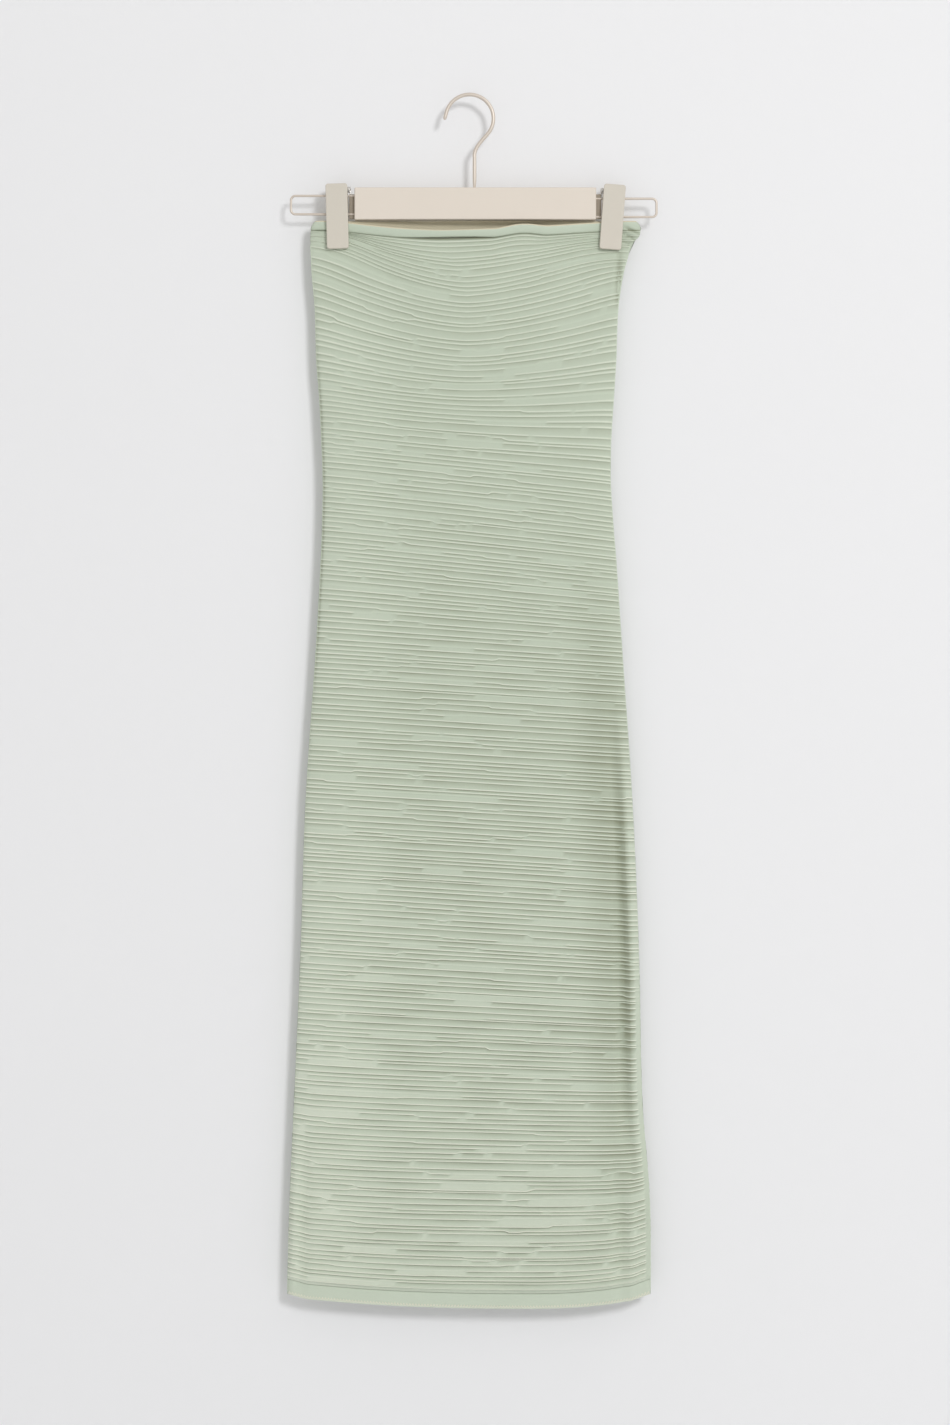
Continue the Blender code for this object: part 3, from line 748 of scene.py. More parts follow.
def mesh_object(name, points, faces, material):
    """A mesh piece on the root body from points in metres."""
    mesh = bpy.data.meshes.new(name)
    mesh.from_pydata(np.asarray(points).reshape(-1, 3).tolist(), [], faces)
    mesh.polygons.foreach_set("use_smooth", [True] * len(mesh.polygons))
    mesh.materials.append(material)
    mesh.update()
    obj = bpy.data.objects.new(name, mesh)
    bpy.context.scene.collection.objects.link(obj)
    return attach(obj, "root")


def grid_faces(rows, columns, flip):
    """Quads over a grid of points whose last row joins the first one again, as
    lists of point numbers."""
    row = np.arange(rows)[:, None]
    column = np.arange(columns - 1)[None, :]
    upper = row * columns + column
    lower = (row + 1) % rows * columns + column
    quads = np.stack((upper, upper + 1, lower + 1, lower), axis=-1).reshape(-1, 4)
    if flip:
        quads = quads[:, ::-1]
    return quads.tolist()


def lay_cloth_uv(obj, across, along):
    """A UV map in metres across and along the cloth, for the knit."""
    mesh = obj.data
    layer = mesh.uv_layers.new(name="cloth")
    corners = np.zeros(len(mesh.loops), dtype=np.int32)
    mesh.loops.foreach_get("vertex_index", corners)
    places = np.stack((across.reshape(-1), along.reshape(-1)), axis=-1)
    layer.data.foreach_set("uv", places[corners].astype(np.float32).reshape(-1))


def lay_tone(obj, tones):
    """Stores how much lighter or darker the colour is painted at each point."""
    attribute = obj.data.attributes.new("tone", "FLOAT", "POINT")
    attribute.data.foreach_set("value", tones.astype(np.float32).reshape(-1))


def panel_rows(shares, side, seed):
    """Course, drop, height and painted light and shade of a panel's outer face: its
    ripples, with a row above them that is tucked behind the neck band and painted
    dark as shade under it."""
    courses, heights, tones = ripple_rows(shares, np.random.default_rng(seed))
    level = np.zeros(len(shares))
    courses = np.vstack((level, level, courses, level + 1))
    heights = np.vstack((level - NECK_TUCK, level, heights, level))
    # The tucked rows are painted dark as the shade under the neck band
    tones = np.vstack((level - 1, level - 1, tones, level + BODY_TONES[-1][1]))
    drops = course_drop(courses, shares[None, :], side)
    heights = heights * (1 - FLATTER_BY * ease(np.abs(shares), FLATTER_FROM, 1.0))
    if side == FRONT:
        plain = ease(shares, SEAM_PLAIN_FROM, SEAM_PLAIN_WHOLE)
        plain = plain * ease(drops, SEAM_TURNS_FROM, SEAM_TURNED_BY)
        heights = heights * (1 - plain)
        # Painted shade and light along the folds; the plain strip keeps no ripple tone
        tones = tones * (1 - plain) - fold_painted_light_and_shade(shares[None, :], drops)
    drops[0] -= NECK_TUCK
    return courses, drops, heights, tones


def make_panel(name, node, side, seed, material):
    """One side of the tube: the rippled outer face over a plain inner face."""
    shares = cloth_shares()
    columns = len(shares)
    courses, drops, heights, tones = panel_rows(shares, side, seed)
    outer = wall_points(shares[None, :], drops, -heights, side)
    inside = np.linspace(1.0, 0.0, INSIDE_ROWS + 1)[:, None] * np.ones(columns)
    inside_drops = course_drop(inside, shares[None, :], side)
    inner = wall_points(shares[None, :], inside_drops, PANEL_WALL, side)
    points = np.concatenate((outer, inner))
    faces = grid_faces(len(points), columns, side == FRONT)
    faces += side_faces(len(outer), columns, side == FRONT)
    panel = mesh_object(name, points, faces, material)
    sharpen_sides(panel.data, columns)
    courses = np.concatenate((courses, inside))
    lay_cloth_uv(panel, points[:, :, 0], courses * (BODY_BOTTOM - BODY_TOP) * MM)
    # The stored tone is the painted light and shade, less painted shade in sharp creases
    lay_tone(panel, np.concatenate((tones, inside * 0)) - painted_crease_shade(points, side))
    weighted = panel.modifiers.new("crisp ripples", "WEIGHTED_NORMAL")
    weighted.keep_sharp = True
    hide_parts(node)
    return panel


def side_faces(outer_rows, columns, flip):
    """The narrow faces that close a panel's wall along its two side seams."""
    faces = []
    nearest = [round(row * INSIDE_ROWS / (outer_rows - 1)) for row in range(outer_rows)]
    for column in (0, columns - 1):
        outer = [row * columns + column for row in range(outer_rows)]
        inner = [(outer_rows + INSIDE_ROWS - k) * columns + column for k in nearest]
        for row in range(outer_rows - 1):
            corners = [outer[row], outer[row + 1], inner[row + 1], inner[row]]
            if inner[row] == inner[row + 1]:
                corners.pop()
            faces.append(corners[::-1] if (column == 0) == flip else corners)
    return faces


def sharpen_sides(mesh, columns):
    """Sharp edges where a panel's faces meet its two narrow sides."""
    ends = np.zeros(len(mesh.edges) * 2, dtype=np.int32)
    mesh.edges.foreach_get("vertices", ends)
    column = ends.reshape(-1, 2) % columns
    at_side = np.all(column == 0, axis=1) | np.all(column == columns - 1, axis=1)
    mesh.edges.foreach_set("use_edge_sharp", at_side)


def round_section(steps, power):
    """A closed section with round corners: wall share and height share."""
    angle = np.arange(steps) / steps * 2 * np.pi
    wall = 0.5 + 0.5 * np.sign(np.cos(angle)) * np.abs(np.cos(angle)) ** (2 / power)
    height = 0.5 + 0.5 * np.sign(np.sin(angle)) * np.abs(np.sin(angle)) ** (2 / power)
    return wall, height


def make_band(node, side, upper, lower, section, wall, outer, tones, material):
    """A knitted band in the place of a node: its section carried along the neck or
    the hem. upper, lower and outer hold the edges' drops and how far it stands
    proud at each column, and tones hold how much lighter or darker its colour is
    made down the band: painted highlight and shade on the neck band."""
    shares = np.linspace(-1.0, 1.0, BAND_COLUMNS)
    walls, heights = section
    drops = upper[None, :] + (lower - upper)[None, :] * heights[:, None]
    inset = wall * (1 - walls[:, None]) - outer[None, :]
    points = wall_points(shares[None, :], drops, inset, side)
    rows, columns = drops.shape
    faces = grid_faces(rows, columns, side == FRONT)
    for column, turned in ((0, side == FRONT), (columns - 1, side != FRONT)):
        ring = [row * columns + column for row in range(rows)]
        faces.append(ring[::-1] if turned else ring)
    band = mesh_object(f"{node}_knit", points, faces, material)
    lay_cloth_uv(band, points[:, :, 0], drops * MM)
    down, light = np.array(tones).T
    # Painted light and shade down the band, less painted shade in sharp creases
    lay_tone(band, np.interp(heights, down, light)[:, None] - painted_crease_shade(points, side))
    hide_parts(node)
    return band


def make_neck_band(word, side, material, inside_material):
    """The folded band along the neck. Its lower edge stands off the cloth under
    the middle of the front, and its inner face is the warmer back of the knit."""
    shares = np.linspace(-1.0, 1.0, BAND_COLUMNS)
    top = course_drop(np.zeros(len(shares)), shares, side)
    gap = CLEARANCE
    if side == FRONT:
        gap = CLEARANCE + NECK_GAP * swell(shares, NECK_GAP_SHARE, NECK_GAP_HALF_WIDTH)
    section = round_section(*NECK_BAND_SECTION)
    outer = NECK_BAND_PROUD + NECK_BAND_ROLL * neck_bow(shares)
    upper = top - CLEARANCE - NECK_BAND_HEIGHT
    if side == BACK:
        upper = upper - NECK_BAND_BACK_RISE * neck_bow(shares)
    band = make_band(
        f"neck_band_{word}", side, upper, top - gap, section,
        NECK_BAND_WALL, outer, NECK_BAND_LIGHT_AND_SHADE, material,
    )
    band.data.materials.append(inside_material)
    wall, height = section
    at_top = (height < NECK_RIM_HEIGHT) & (wall < NECK_RIM_WALL)
    turned_in = at_top | (wall < NECK_INNER_WALL)
    inner = (turned_in & np.roll(turned_in, -1)).astype(int)
    index = np.repeat(inner, BAND_COLUMNS - 1).tolist() + [0, 0]
    band.data.polygons.foreach_set("material_index", index)
    return band


def hem_edges(shares, side):
    """The drops of the hem band's upper and lower edge."""
    seam = course_drop(np.ones(len(shares)), shares, side)
    return seam + CLEARANCE, seam + CLEARANCE + HEM_BAND_HEIGHT


def make_hem_band(word, side, material):
    """The plain knitted band along the hem."""
    shares = np.linspace(-1.0, 1.0, BAND_COLUMNS)
    upper, lower = hem_edges(shares, side)
    outer = np.full(len(shares), HEM_BAND_PROUD)
    return make_band(
        f"hem_band_{word}", side, upper, lower, round_section(*HEM_BAND_SECTION),
        HEM_BAND_WALL, outer, HEM_BAND_TONES, material,
    )


def make_tube(name, path, radii, sides, material):
    """A round thread or wire along a path in metres. A radius of 0 closes an end."""
    path = np.asarray(path, dtype=float)
    radii = np.broadcast_to(radii, len(path))
    ahead = np.gradient(path, axis=0)
    ahead /= np.linalg.norm(ahead, axis=1, keepdims=True)
    across = np.zeros_like(path)
    guide = np.array((0.0, 1.0, 0.0))
    if abs(ahead[0][1]) >= ALONG_Y:
        guide = np.array((0.0, 0.0, 1.0))
    for k, direction in enumerate(ahead):
        guide = guide - direction * guide.dot(direction)
        guide /= np.linalg.norm(guide)
        across[k] = guide
    other = np.cross(ahead, across)
    turn = np.arange(sides) / sides * 2 * np.pi
    ring = across[None] * np.cos(turn)[:, None, None] + other[None] * np.sin(turn)[:, None, None]
    points = path[None] + ring * radii[None, :, None]
    faces = grid_faces(sides, len(path), True)
    faces.append([row * len(path) for row in range(sides)])
    faces.append([(row + 1) * len(path) - 1 for row in range(sides)][::-1])
    return mesh_object(name, points, faces, material)


def round_ends(count, radius):
    """The radii of a wire whose two ends are rounded over their first points."""
    radii = np.full(count, radius)
    for k in range(WIRE_END_POINTS):
        opened = (k + WIRE_END_OPEN) / WIRE_END_POINTS
        radii[k] = radius * math.sqrt(1 - (1 - opened) ** 2)
        radii[-1 - k] = radii[k]
    return radii


def make_overlock(word, side, material):
    """The zigzag thread that binds the edge of the hem."""
    step = np.arange(OVERLOCK_STITCHES * OVERLOCK_POINTS + 1)
    shares = np.linspace(-OVERLOCK_REACH, OVERLOCK_REACH, len(step))
    _, lower = hem_edges(shares, side)
    half = OVERLOCK_POINTS / 2
    zigzag = np.abs(step % OVERLOCK_POINTS - half) / half
    drop = lower - OVERLOCK_BITE * (1 - zigzag) + OVERLOCK_BELOW * zigzag
    wrap = HEM_BAND_WALL * OVERLOCK_WRAP * zigzag**2
    path = wall_points(shares, drop, wrap - HEM_BAND_PROUD - OVERLOCK_PROUD, side)
    radius = OVERLOCK_THREAD / 2 * MM
    thread = make_tube(f"hem_overlock_{word}", path, radius, OVERLOCK_SIDES, material)
    return thread


def make_side_seam(word, edge, material):
    """The linked seam down one side, as a narrow ridge of small stitches."""
    start = BODY_TOP + SEAM_BELOW_NECK
    drops = np.arange(start, BODY_BOTTOM - SEAM_ABOVE_HEM, SEAM_STITCH / SEAM_POINTS)
    turn = np.arange(len(drops)) / SEAM_POINTS * 2 * np.pi
    radius = SEAM_THREAD / 2 * (1 - SEAM_WAIST + SEAM_WAIST * np.cos(turn)) * MM
    path = wall_points(np.full(len(drops), edge), drops, SEAM_INSET, FRONT)
    seam = make_tube(f"side_seam_{word}", path, radius, SEAM_SIDES, material)
    return seam


# Hanger

def round_outline(low, high, corner, steps):
    """Points in x and z round a rectangle with round corners, in millimetres."""
    points = []
    for centre_x, centre_z, start in (
        (high[0] - corner, high[1] - corner, 0),
        (low[0] + corner, high[1] - corner, 90),
        (low[0] + corner, low[1] + corner, 180),
        (high[0] - corner, low[1] + corner, 270),
    ):
        for k in range(steps + 1):
            angle = math.radians(start + 90 * k / steps)
            points.append((centre_x + corner * math.cos(angle), centre_z + corner * math.sin(angle)))
    return np.array(points)


def slab_mesh(outline, y_low, y_high, rim):
    """Points and faces of a flat moulded slab with rounded rims."""
    middle = outline.mean(axis=0)
    half = (outline.max(axis=0) - outline.min(axis=0)) / 2
    rings = []
    for y_edge, inward in ((y_low, 1), (y_high, -1)):
        for k in range(RIM_STEPS + 1)[::inward]:
            angle = math.radians(90 * k / RIM_STEPS)
            inset = rim * (1 - math.sin(angle))
            ring = middle + (outline - middle) * (1 - inset / half)
            y = y_edge + inward * rim * (1 - math.cos(angle))
            rings.append(np.stack((ring[:, 0], np.full(len(ring), y), ring[:, 1]), axis=-1))
    points = np.concatenate(rings) * MM
    count = len(outline)
    faces = []
    for k in range(len(rings) - 1):
        for i in range(count):
            j = (i + 1) % count
            faces.append([k * count + i, k * count + j, (k + 1) * count + j, (k + 1) * count + i])
    faces.append(list(range(count))[::-1])
    faces.append([(len(rings) - 1) * count + i for i in range(count)])
    return points, faces


def make_slab(name, parts, material):
    """One piece of moulded slabs, each given by outline, low y, high y and rim."""
    points = []
    faces = []
    for outline, y_low, y_high, rim in parts:
        more_points, more_faces = slab_mesh(outline, y_low, y_high, rim)
        base = sum(len(p) for p in points)
        points.append(more_points)
        faces += [[base + i for i in face] for face in more_faces]
    slab = mesh_object(name, np.concatenate(points), faces, material)
    weighted = slab.modifiers.new("flat faces", "WEIGHTED_NORMAL")
    weighted.weight = FLAT_FACE_WEIGHT
    return slab


def make_bar(material, tab_shade_material):
    """The flat bar, with a thin tab at each end between the wires, coloured dark as painted shade of
    the recess.
    """
    half = BAR_THICKNESS / 2
    low, high = (BAR_LEFT, BAR_BOTTOM), (BAR_RIGHT, BAR_TOP)
    body = round_outline(low, high, BAR_CORNER, CORNER_STEPS)
    bar = make_slab("bar", ((body, -half, half, BAR_RIM),), material)
    half = TAB_THICKNESS / 2
    tabs = []
    for start, end in ((TAB_LEFT, BAR_LEFT + TAB_INTO_BAR), (BAR_RIGHT - TAB_INTO_BAR, TAB_RIGHT)):
        outline = round_outline((start, TAB_BOTTOM), (end, TAB_TOP), TAB_RIM, TAB_CORNER_STEPS)
        tabs.append((outline, -half, half, TAB_RIM))
    tabs = make_slab("bar_tabs", tabs, tab_shade_material)
    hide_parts("hanger_bar")
    return bar


def hook_path():
    """The hook in the plane of the bar: tip, arc, throat bend and shank."""
    centre_z = HOOK_WIRE / 2 - HOOK_RADIUS
    angles = np.radians(np.linspace(HOOK_TIP_ANGLE, HOOK_THROAT_ANGLE, HOOK_ARC_POINTS))
    arc = HOOK_RADIUS * np.stack((np.cos(angles), np.sin(angles)), axis=-1) + (0.0, centre_z)
    tip_heading = np.array((-math.sin(angles[0]), math.cos(angles[0])))
    tip_steps = np.linspace(HOOK_TIP_LENGTH, HOOK_TIP_STARTS, HOOK_END_POINTS)
    tip = arc[0] + tip_heading * tip_steps[:, None]
    heading = np.array((math.sin(angles[-1]), -math.cos(angles[-1])))
    shank = np.array((HOOK_SHANK_X, HOOK_SHANK_TOP))
    reach = np.linalg.norm(shank - arc[-1])
    t = np.linspace(0, 1, HOOK_BEND_POINTS + 1)[1:, None]
    near = arc[-1] + heading * reach * t
    far = shank + np.array((0.0, 1.0)) * reach * HOOK_BEND_PULL * (1 - t)
    bend = near + (far - near) * ease(t, 0.0, 1.0)
    start = HOOK_SHANK_TOP - HOOK_STEP_BELOW_BEND
    depth = np.linspace(start, BAR_TOP - HOOK_INTO_BAR, HOOK_END_POINTS)
    straight = np.stack((np.full(HOOK_END_POINTS, HOOK_SHANK_X), depth), axis=-1)
    return np.concatenate((tip, arc, bend, straight))


def in_bar_plane(path):
    """Points in x and z, as points in metres in the plane of the bar."""
    return np.stack((path[:, 0], np.zeros(len(path)), path[:, 1]), axis=-1) * MM


def make_hook(material):
    """The round wire hook, with its tip rounded over."""
    path = in_bar_plane(hook_path())
    hook = make_tube("hook", path, round_ends(len(path), HOOK_WIRE / 2 * MM), WIRE_SIDES, material)
    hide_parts("hanger_hook")
    return hook


def make_wire_loop(word, material):
    """A flat wire loop: out along the upper run, round the end, and back."""
    outer, inner, upper, lower = LOOPS[word]
    outward = math.copysign(1.0, outer - inner)
    inner -= outward * WIRE_INTO_BAR
    run = np.linspace(inner, outer - outward * LOOP_CORNER, LOOP_RUN_POINTS, endpoint=False)
    points = [(x, upper) for x in run]
    for centre_z, start in ((upper - LOOP_CORNER, 90), (lower + LOOP_CORNER, 0)):
        for k in range(LOOP_CORNER_STEPS + 1):
            angle = math.radians(start - 90 * k / LOOP_CORNER_STEPS)
            x = outer - outward * LOOP_CORNER * (1 - math.cos(angle))
            points.append((x, centre_z + LOOP_CORNER * math.sin(angle)))
    points += [(x, lower) for x in run[::-1]]
    path = in_bar_plane(np.array(points))
    loop = make_tube(f"{word}_wire_loop", path, LOOP_WIRE / 2 * MM, WIRE_SIDES, material)
    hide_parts(f"wire_loop_{word}")
    return loop


def leaned(points, clip):
    """Points turned in the plane of the bar by the clip's lean."""
    x, z, lean = clip
    angle = math.radians(lean)
    turn = ((math.cos(angle), -math.sin(angle)), (math.sin(angle), math.cos(angle)))
    return (points - (x, z)) @ np.array(turn) + (x, z)


def make_jaw(word, place, side, material):
    """One flat jaw of a clip, with round corners and rims."""
    x, z, _ = clip = CLIPS[word]
    low = (x - JAW_WIDTH / 2, z - JAW_HEIGHT / 2)
    high = (x + JAW_WIDTH / 2, z + JAW_HEIGHT / 2)
    outline = leaned(round_outline(low, high, JAW_CORNER, JAW_CORNER_STEPS), clip)
    near, far = sorted((side * JAW_HALF_GAP, side * (JAW_HALF_GAP + JAW_THICKNESS)))
    jaw = make_slab(f"{word}_clip_{place}_jaw", ((outline, near, far, JAW_RIM),), material)
    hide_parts(f"clip_{word}_{place}_jaw")
    return jaw


def make_core(word, material):
    """The block between the jaws, between the two runs of the wire loop."""
    x = CLIPS[word][0]
    _, _, upper, lower = LOOPS[word]
    clear = LOOP_WIRE / 2 + CLEARANCE
    low = (x - CORE_WIDTH / 2, lower + clear)
    high = (x + CORE_WIDTH / 2, upper - clear)
    outline = round_outline(low, high, CORE_CORNER, CORNER_STEPS)
    half = JAW_HALF_GAP - CLEARANCE
    core = make_slab(f"{word}_clip_core", ((outline, -half, half, CORE_RIM),), material)
    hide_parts(f"clip_{word}_core")
    return core


def make_spring(word, material):
    """The coiled steel spring at the top of a clip, with a leg on the bar's side."""
    x, z, lean = CLIPS[word]
    towards_bar = -math.copysign(1.0, x)
    radius = JAW_HALF_GAP - CLEARANCE - SPRING_WIRE / 2
    length = JAW_WIDTH - SPRING_SHORTER_THAN_JAW + SPRING_OVERHANG - SPRING_WIRE
    top = z + JAW_HEIGHT / 2 - SPRING_DROP_FROM_TOP
    shift = (z - top) * -math.tan(math.radians(lean))
    middle = x + shift + towards_bar * SPRING_OVERHANG / 2
    turns = length / SPRING_TURN
    t = np.linspace(0, 1, int(turns * SPRING_TURN_POINTS))
    angle = 2 * np.pi * turns * (1 - t)
    along = middle + towards_bar * (t - 0.5) * length
    coil = np.stack((along, radius * np.cos(angle), top + radius * np.sin(angle)), axis=-1)
    drop = np.linspace(0, SPRING_LEG, SPRING_LEG_POINTS + 1)[1:, None]
    leg = np.array((along[-1], radius, top)) - drop * (0, 0, 1)
    path = np.concatenate((coil, leg)) * MM
    spring = make_tube(f"{word}_clip_spring", path, SPRING_WIRE / 2 * MM, SPRING_SIDES, material)
    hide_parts(f"clip_{word}_spring")
    return spring


# Shader node groups

def new_group(name, inputs, outputs):
    """A shader node group with named sockets: the group, the sockets that give its
    values inside, and the sockets that take its results."""
    group = bpy.data.node_groups.new(name, "ShaderNodeTree")
    for label, kind, value in inputs:
        socket = group.interface.new_socket(name=label, in_out="INPUT", socket_type=f"NodeSocket{kind}")
        if value is not None:
            socket.default_value = value
    for label, kind in outputs:
        group.interface.new_socket(name=label, in_out="OUTPUT", socket_type=f"NodeSocket{kind}")
    given = group.nodes.new("NodeGroupInput").outputs
    result = group.nodes.new("NodeGroupOutput").inputs
    return group, given, result


def feed(socket, value):
    """Links a socket to another one, or sets its value."""
    if isinstance(value, bpy.types.NodeSocket):
        socket.id_data.links.new(value, socket)
    else:
        socket.default_value = value


def feed_all(node, **values):
    """Links or sets a node's inputs by their names, with _ for a space."""
    for label, value in values.items():
        feed(node.inputs[label.replace("_", " ")], value)


def calc(operation, *values):
    """The result of a Math node, in the node tree of the sockets among its values."""
    tree = next(value.id_data for value in values if isinstance(value, bpy.types.NodeSocket))
    node = tree.nodes.new("ShaderNodeMath")
    node.operation = operation
    for socket, value in zip(node.inputs, values):
        feed(socket, value)
    return node.outputs[0]


def mix_colour(amount, first, second):
    """Two colours mixed by an amount from 0 to 1. Inputs 6 and 7 and output 2 of a
    Mix node are its colours."""
    node = amount.id_data.nodes.new("ShaderNodeMix")
    node.data_type = "RGBA"
    feed(node.inputs[0], amount)
    feed(node.inputs[6], first)
    feed(node.inputs[7], second)
    return node.outputs[2]


def stretched(vector, scale):
    """A vector whose parts are each multiplied by a scale."""
    node = vector.id_data.nodes.new("ShaderNodeVectorMath")
    node.operation = "MULTIPLY"
    feed(node.inputs[0], vector)
    feed(node.inputs[1], scale)
    return node.outputs[0]


def noise(vector, grain, detail=2.0, roughness=0.5):
    """A Noise texture, about 0.5 on average. The grain is one number or one for
    each axis."""
    scale = grain
    if isinstance(grain, tuple):
        vector = stretched(vector, grain)
        scale = 1.0
    node = vector.id_data.nodes.new("ShaderNodeTexNoise")
    feed_all(node, Vector=vector, Scale=scale, Detail=detail, Roughness=roughness)
    return node.outputs[0]


def knit_group():
    """Jersey stitches: columns of small V shapes, from cloth coordinates in metres."""
    inputs = (
        ("Cloth", "Vector", None),
        ("Stitch Width", "Float", BODY_STITCH[0]),
        ("Stitch Height", "Float", BODY_STITCH[0] * STITCH_HEIGHT_SHARE),
        ("Slackness", "Float", 0.3),
    )
    outputs = (("Height", "Float"), ("Hollow", "Float"))
    group, given, result = new_group("knit_stitches", inputs, outputs)
    split = group.nodes.new("ShaderNodeSeparateXYZ")
    feed(split.inputs[0], given["Cloth"])
    slack = calc("SUBTRACT", noise(given["Cloth"], SLACK_GRAIN), 0.5)
    slack = calc("MULTIPLY", slack, given["Slackness"])
    column = calc("ADD", calc("DIVIDE", split.outputs[0], given["Stitch Width"]), slack)
    row = calc("ADD", calc("DIVIDE", split.outputs[1], given["Stitch Height"]), slack)
    middle = calc("ABSOLUTE", calc("SUBTRACT", calc("FRACT", column), 0.5))
    slant = calc("MULTIPLY_ADD", middle, STITCH_SLANT, row)
    wave = calc("SINE", calc("MULTIPLY", slant, 2 * math.pi))
    strand = calc("MULTIPLY_ADD", wave, 0.5, 0.5)
    column_round = calc("ABSOLUTE", calc("SINE", calc("MULTIPLY", column, 2 * math.pi)))
    column_round = calc("POWER", column_round, STITCH_ROUNDNESS)
    strand = calc("MULTIPLY_ADD", strand, STRAND_RELIEF, 1 - STRAND_RELIEF)
    height = calc("MULTIPLY", column_round, strand)
    feed(result["Height"], height)
    # The hollows between the stitches, where the yarn group paints shade
    feed(result["Hollow"], calc("SUBTRACT", 1.0, height))
    return group


def yarn_group():
    """Yarn colour: fibres that vary a little, lighter or darker by a tone of painted
    light and shade, and painted shade in the stitches' hollows.
    """
    inputs = (
        ("Cloth", "Vector", None),
        ("Yarn", "Color", YARN),
        ("Light Yarn", "Color", YARN_LIGHT_AND_HIGHLIGHT),
        ("Dark Yarn", "Color", YARN_DARK_AND_SHADE),
        ("Tone", "Float", 0.0),
        ("Hollow", "Float", 0.0),
        ("Variation", "Float", 0.3),
    )
    outputs = (("Color", "Color"), ("Fuzz", "Float"))
    group, given, result = new_group("yarn_colour", inputs, outputs)
    fibre = noise(given["Cloth"], FIBRE_GRAIN, detail=3.0, roughness=0.6)
    patch = noise(given["Cloth"], YARN_PATCHES)
    patch = calc("MULTIPLY", patch, 1 - FIBRE_SHARE)
    vary = calc("SUBTRACT", calc("MULTIPLY_ADD", fibre, FIBRE_SHARE, patch), 0.5)
    vary = calc("MULTIPLY", vary, given["Variation"])
    # Painted highlight where the tone is above 0, with the fibres' own lighter variation
    lift = calc("ADD", calc("MAXIMUM", given["Tone"], 0.0), calc("MAXIMUM", vary, 0.0))
    # Painted shade in the stitches' hollows
    sink = calc("MULTIPLY", given["Hollow"], HOLLOW_SHADE)
    # Painted shade where the tone is below 0, with the fibres' own darker variation
    sink = calc("SUBTRACT", sink, calc("MINIMUM", given["Tone"], 0.0))
    sink = calc("SUBTRACT", sink, calc("MINIMUM", vary, 0.0))
    lighter = mix_colour(calc("MINIMUM", lift, 1.0), given["Yarn"], given["Light Yarn"])
    feed(result["Color"], mix_colour(calc("MINIMUM", sink, 1.0), lighter, given["Dark Yarn"]))
    feed(result["Fuzz"], fibre)
    return group


def moulded_group():
    """Moulded plastic: fine grain, soft mottling and small scuffs."""
    inputs = (
        ("Place", "Vector", None),
        ("Plastic", "Color", BAR_PLASTIC),
        ("Scuffed", "Color", CLIP_PLASTIC),
        ("Roughness", "Float", 0.5),
        ("Wear", "Float", 0.2),
    )
    outputs = (("Color", "Color"), ("Roughness", "Float"), ("Height", "Float"))
    group, given, result = new_group("moulded_plastic", inputs, outputs)
    grain = noise(given["Place"], PLASTIC_GRAIN, roughness=0.6)
    mottle = noise(given["Place"], PLASTIC_MOTTLE, detail=3.0)
    scratch = noise(given["Place"], PLASTIC_SCRATCHES, roughness=0.6)
    scuff = calc("MULTIPLY", calc("GREATER_THAN", scratch, SCRATCH_SHOWS_FROM), given["Wear"])
    amount = calc("MULTIPLY_ADD", mottle, given["Wear"], scuff)
    colour = mix_colour(calc("MINIMUM", amount, 1.0), given["Plastic"], given["Scuffed"])
    uneven = calc("MULTIPLY", calc("SUBTRACT", mottle, 0.5), MOTTLE_ROUGHENS)
    feed(result["Color"], colour)
    feed(result["Roughness"], calc("ADD", given["Roughness"], uneven))
    feed(result["Height"], calc("MULTIPLY_ADD", scuff, SCRATCH_DEPTH, grain))
    return group


def drawn_metal_group():
    """Drawn wire: fine lines along it, small pits and dull spots."""
    inputs = (
        ("Place", "Vector", None),
        ("Clean", "Color", ENAMEL),
        ("Dull", "Color", CLIP_PLASTIC),
        ("Dullness", "Float", 0.35),
        ("Roughness", "Float", 0.35),
    )
    outputs = (("Color", "Color"), ("Roughness", "Float"), ("Height", "Float"))
    group, given, result = new_group("drawn_wire", inputs, outputs)
    spots = noise(given["Place"], WIRE_SPOTS, detail=3.0, roughness=0.6)
    lines = noise(given["Place"], WIRE_LINES, detail=1.0)
    dull = calc("MULTIPLY", spots, given["Dullness"])
    feed(result["Color"], mix_colour(dull, given["Clean"], given["Dull"]))
    rough = calc("MULTIPLY_ADD", spots, SPOTS_ROUGHEN, given["Roughness"])
    feed(result["Roughness"], rough)
    feed(result["Height"], calc("ADD", lines, spots))
    return group


# Materials

def new_material(name):
    """A material, its node tree and its shader."""
    material = bpy.data.materials.new(name)
    material.use_nodes = True
    tree = material.node_tree
    return material, tree, tree.nodes["Principled BSDF"]


def use_group(tree, group, **values):
    """A group node in a material, with its values or links by socket name."""
    node = tree.nodes.new("ShaderNodeGroup")
    node.node_tree = group
    feed_all(node, **values)
    return node.outputs


def bump(shader, height, distance, strength):
    """Raises a shader's surface by a height, over a distance in metres."""
    node = shader.id_data.nodes.new("ShaderNodeBump")
    feed_all(node, Height=height, Distance=distance, Strength=strength)
    feed(shader.inputs["Normal"], node.outputs[0])


def place_in_object(tree):
    """Where a point is in its piece, in metres."""
    return tree.nodes.new("ShaderNodeTexCoord").outputs["Object"]


def place_on_cloth(tree):
    """Where a point is on the knit, in metres across and along it."""
    node = tree.nodes.new("ShaderNodeUVMap")
    node.uv_map = "cloth"
    return node.outputs[0]


def stored_tone(tree):
    """The painted light and shade stored on the mesh, scaled."""
    attribute = tree.nodes.new("ShaderNodeAttribute")
    attribute.attribute_name = "tone"
    return calc("MULTIPLY", attribute.outputs["Fac"], PAINTED_TONE_STRENGTH)


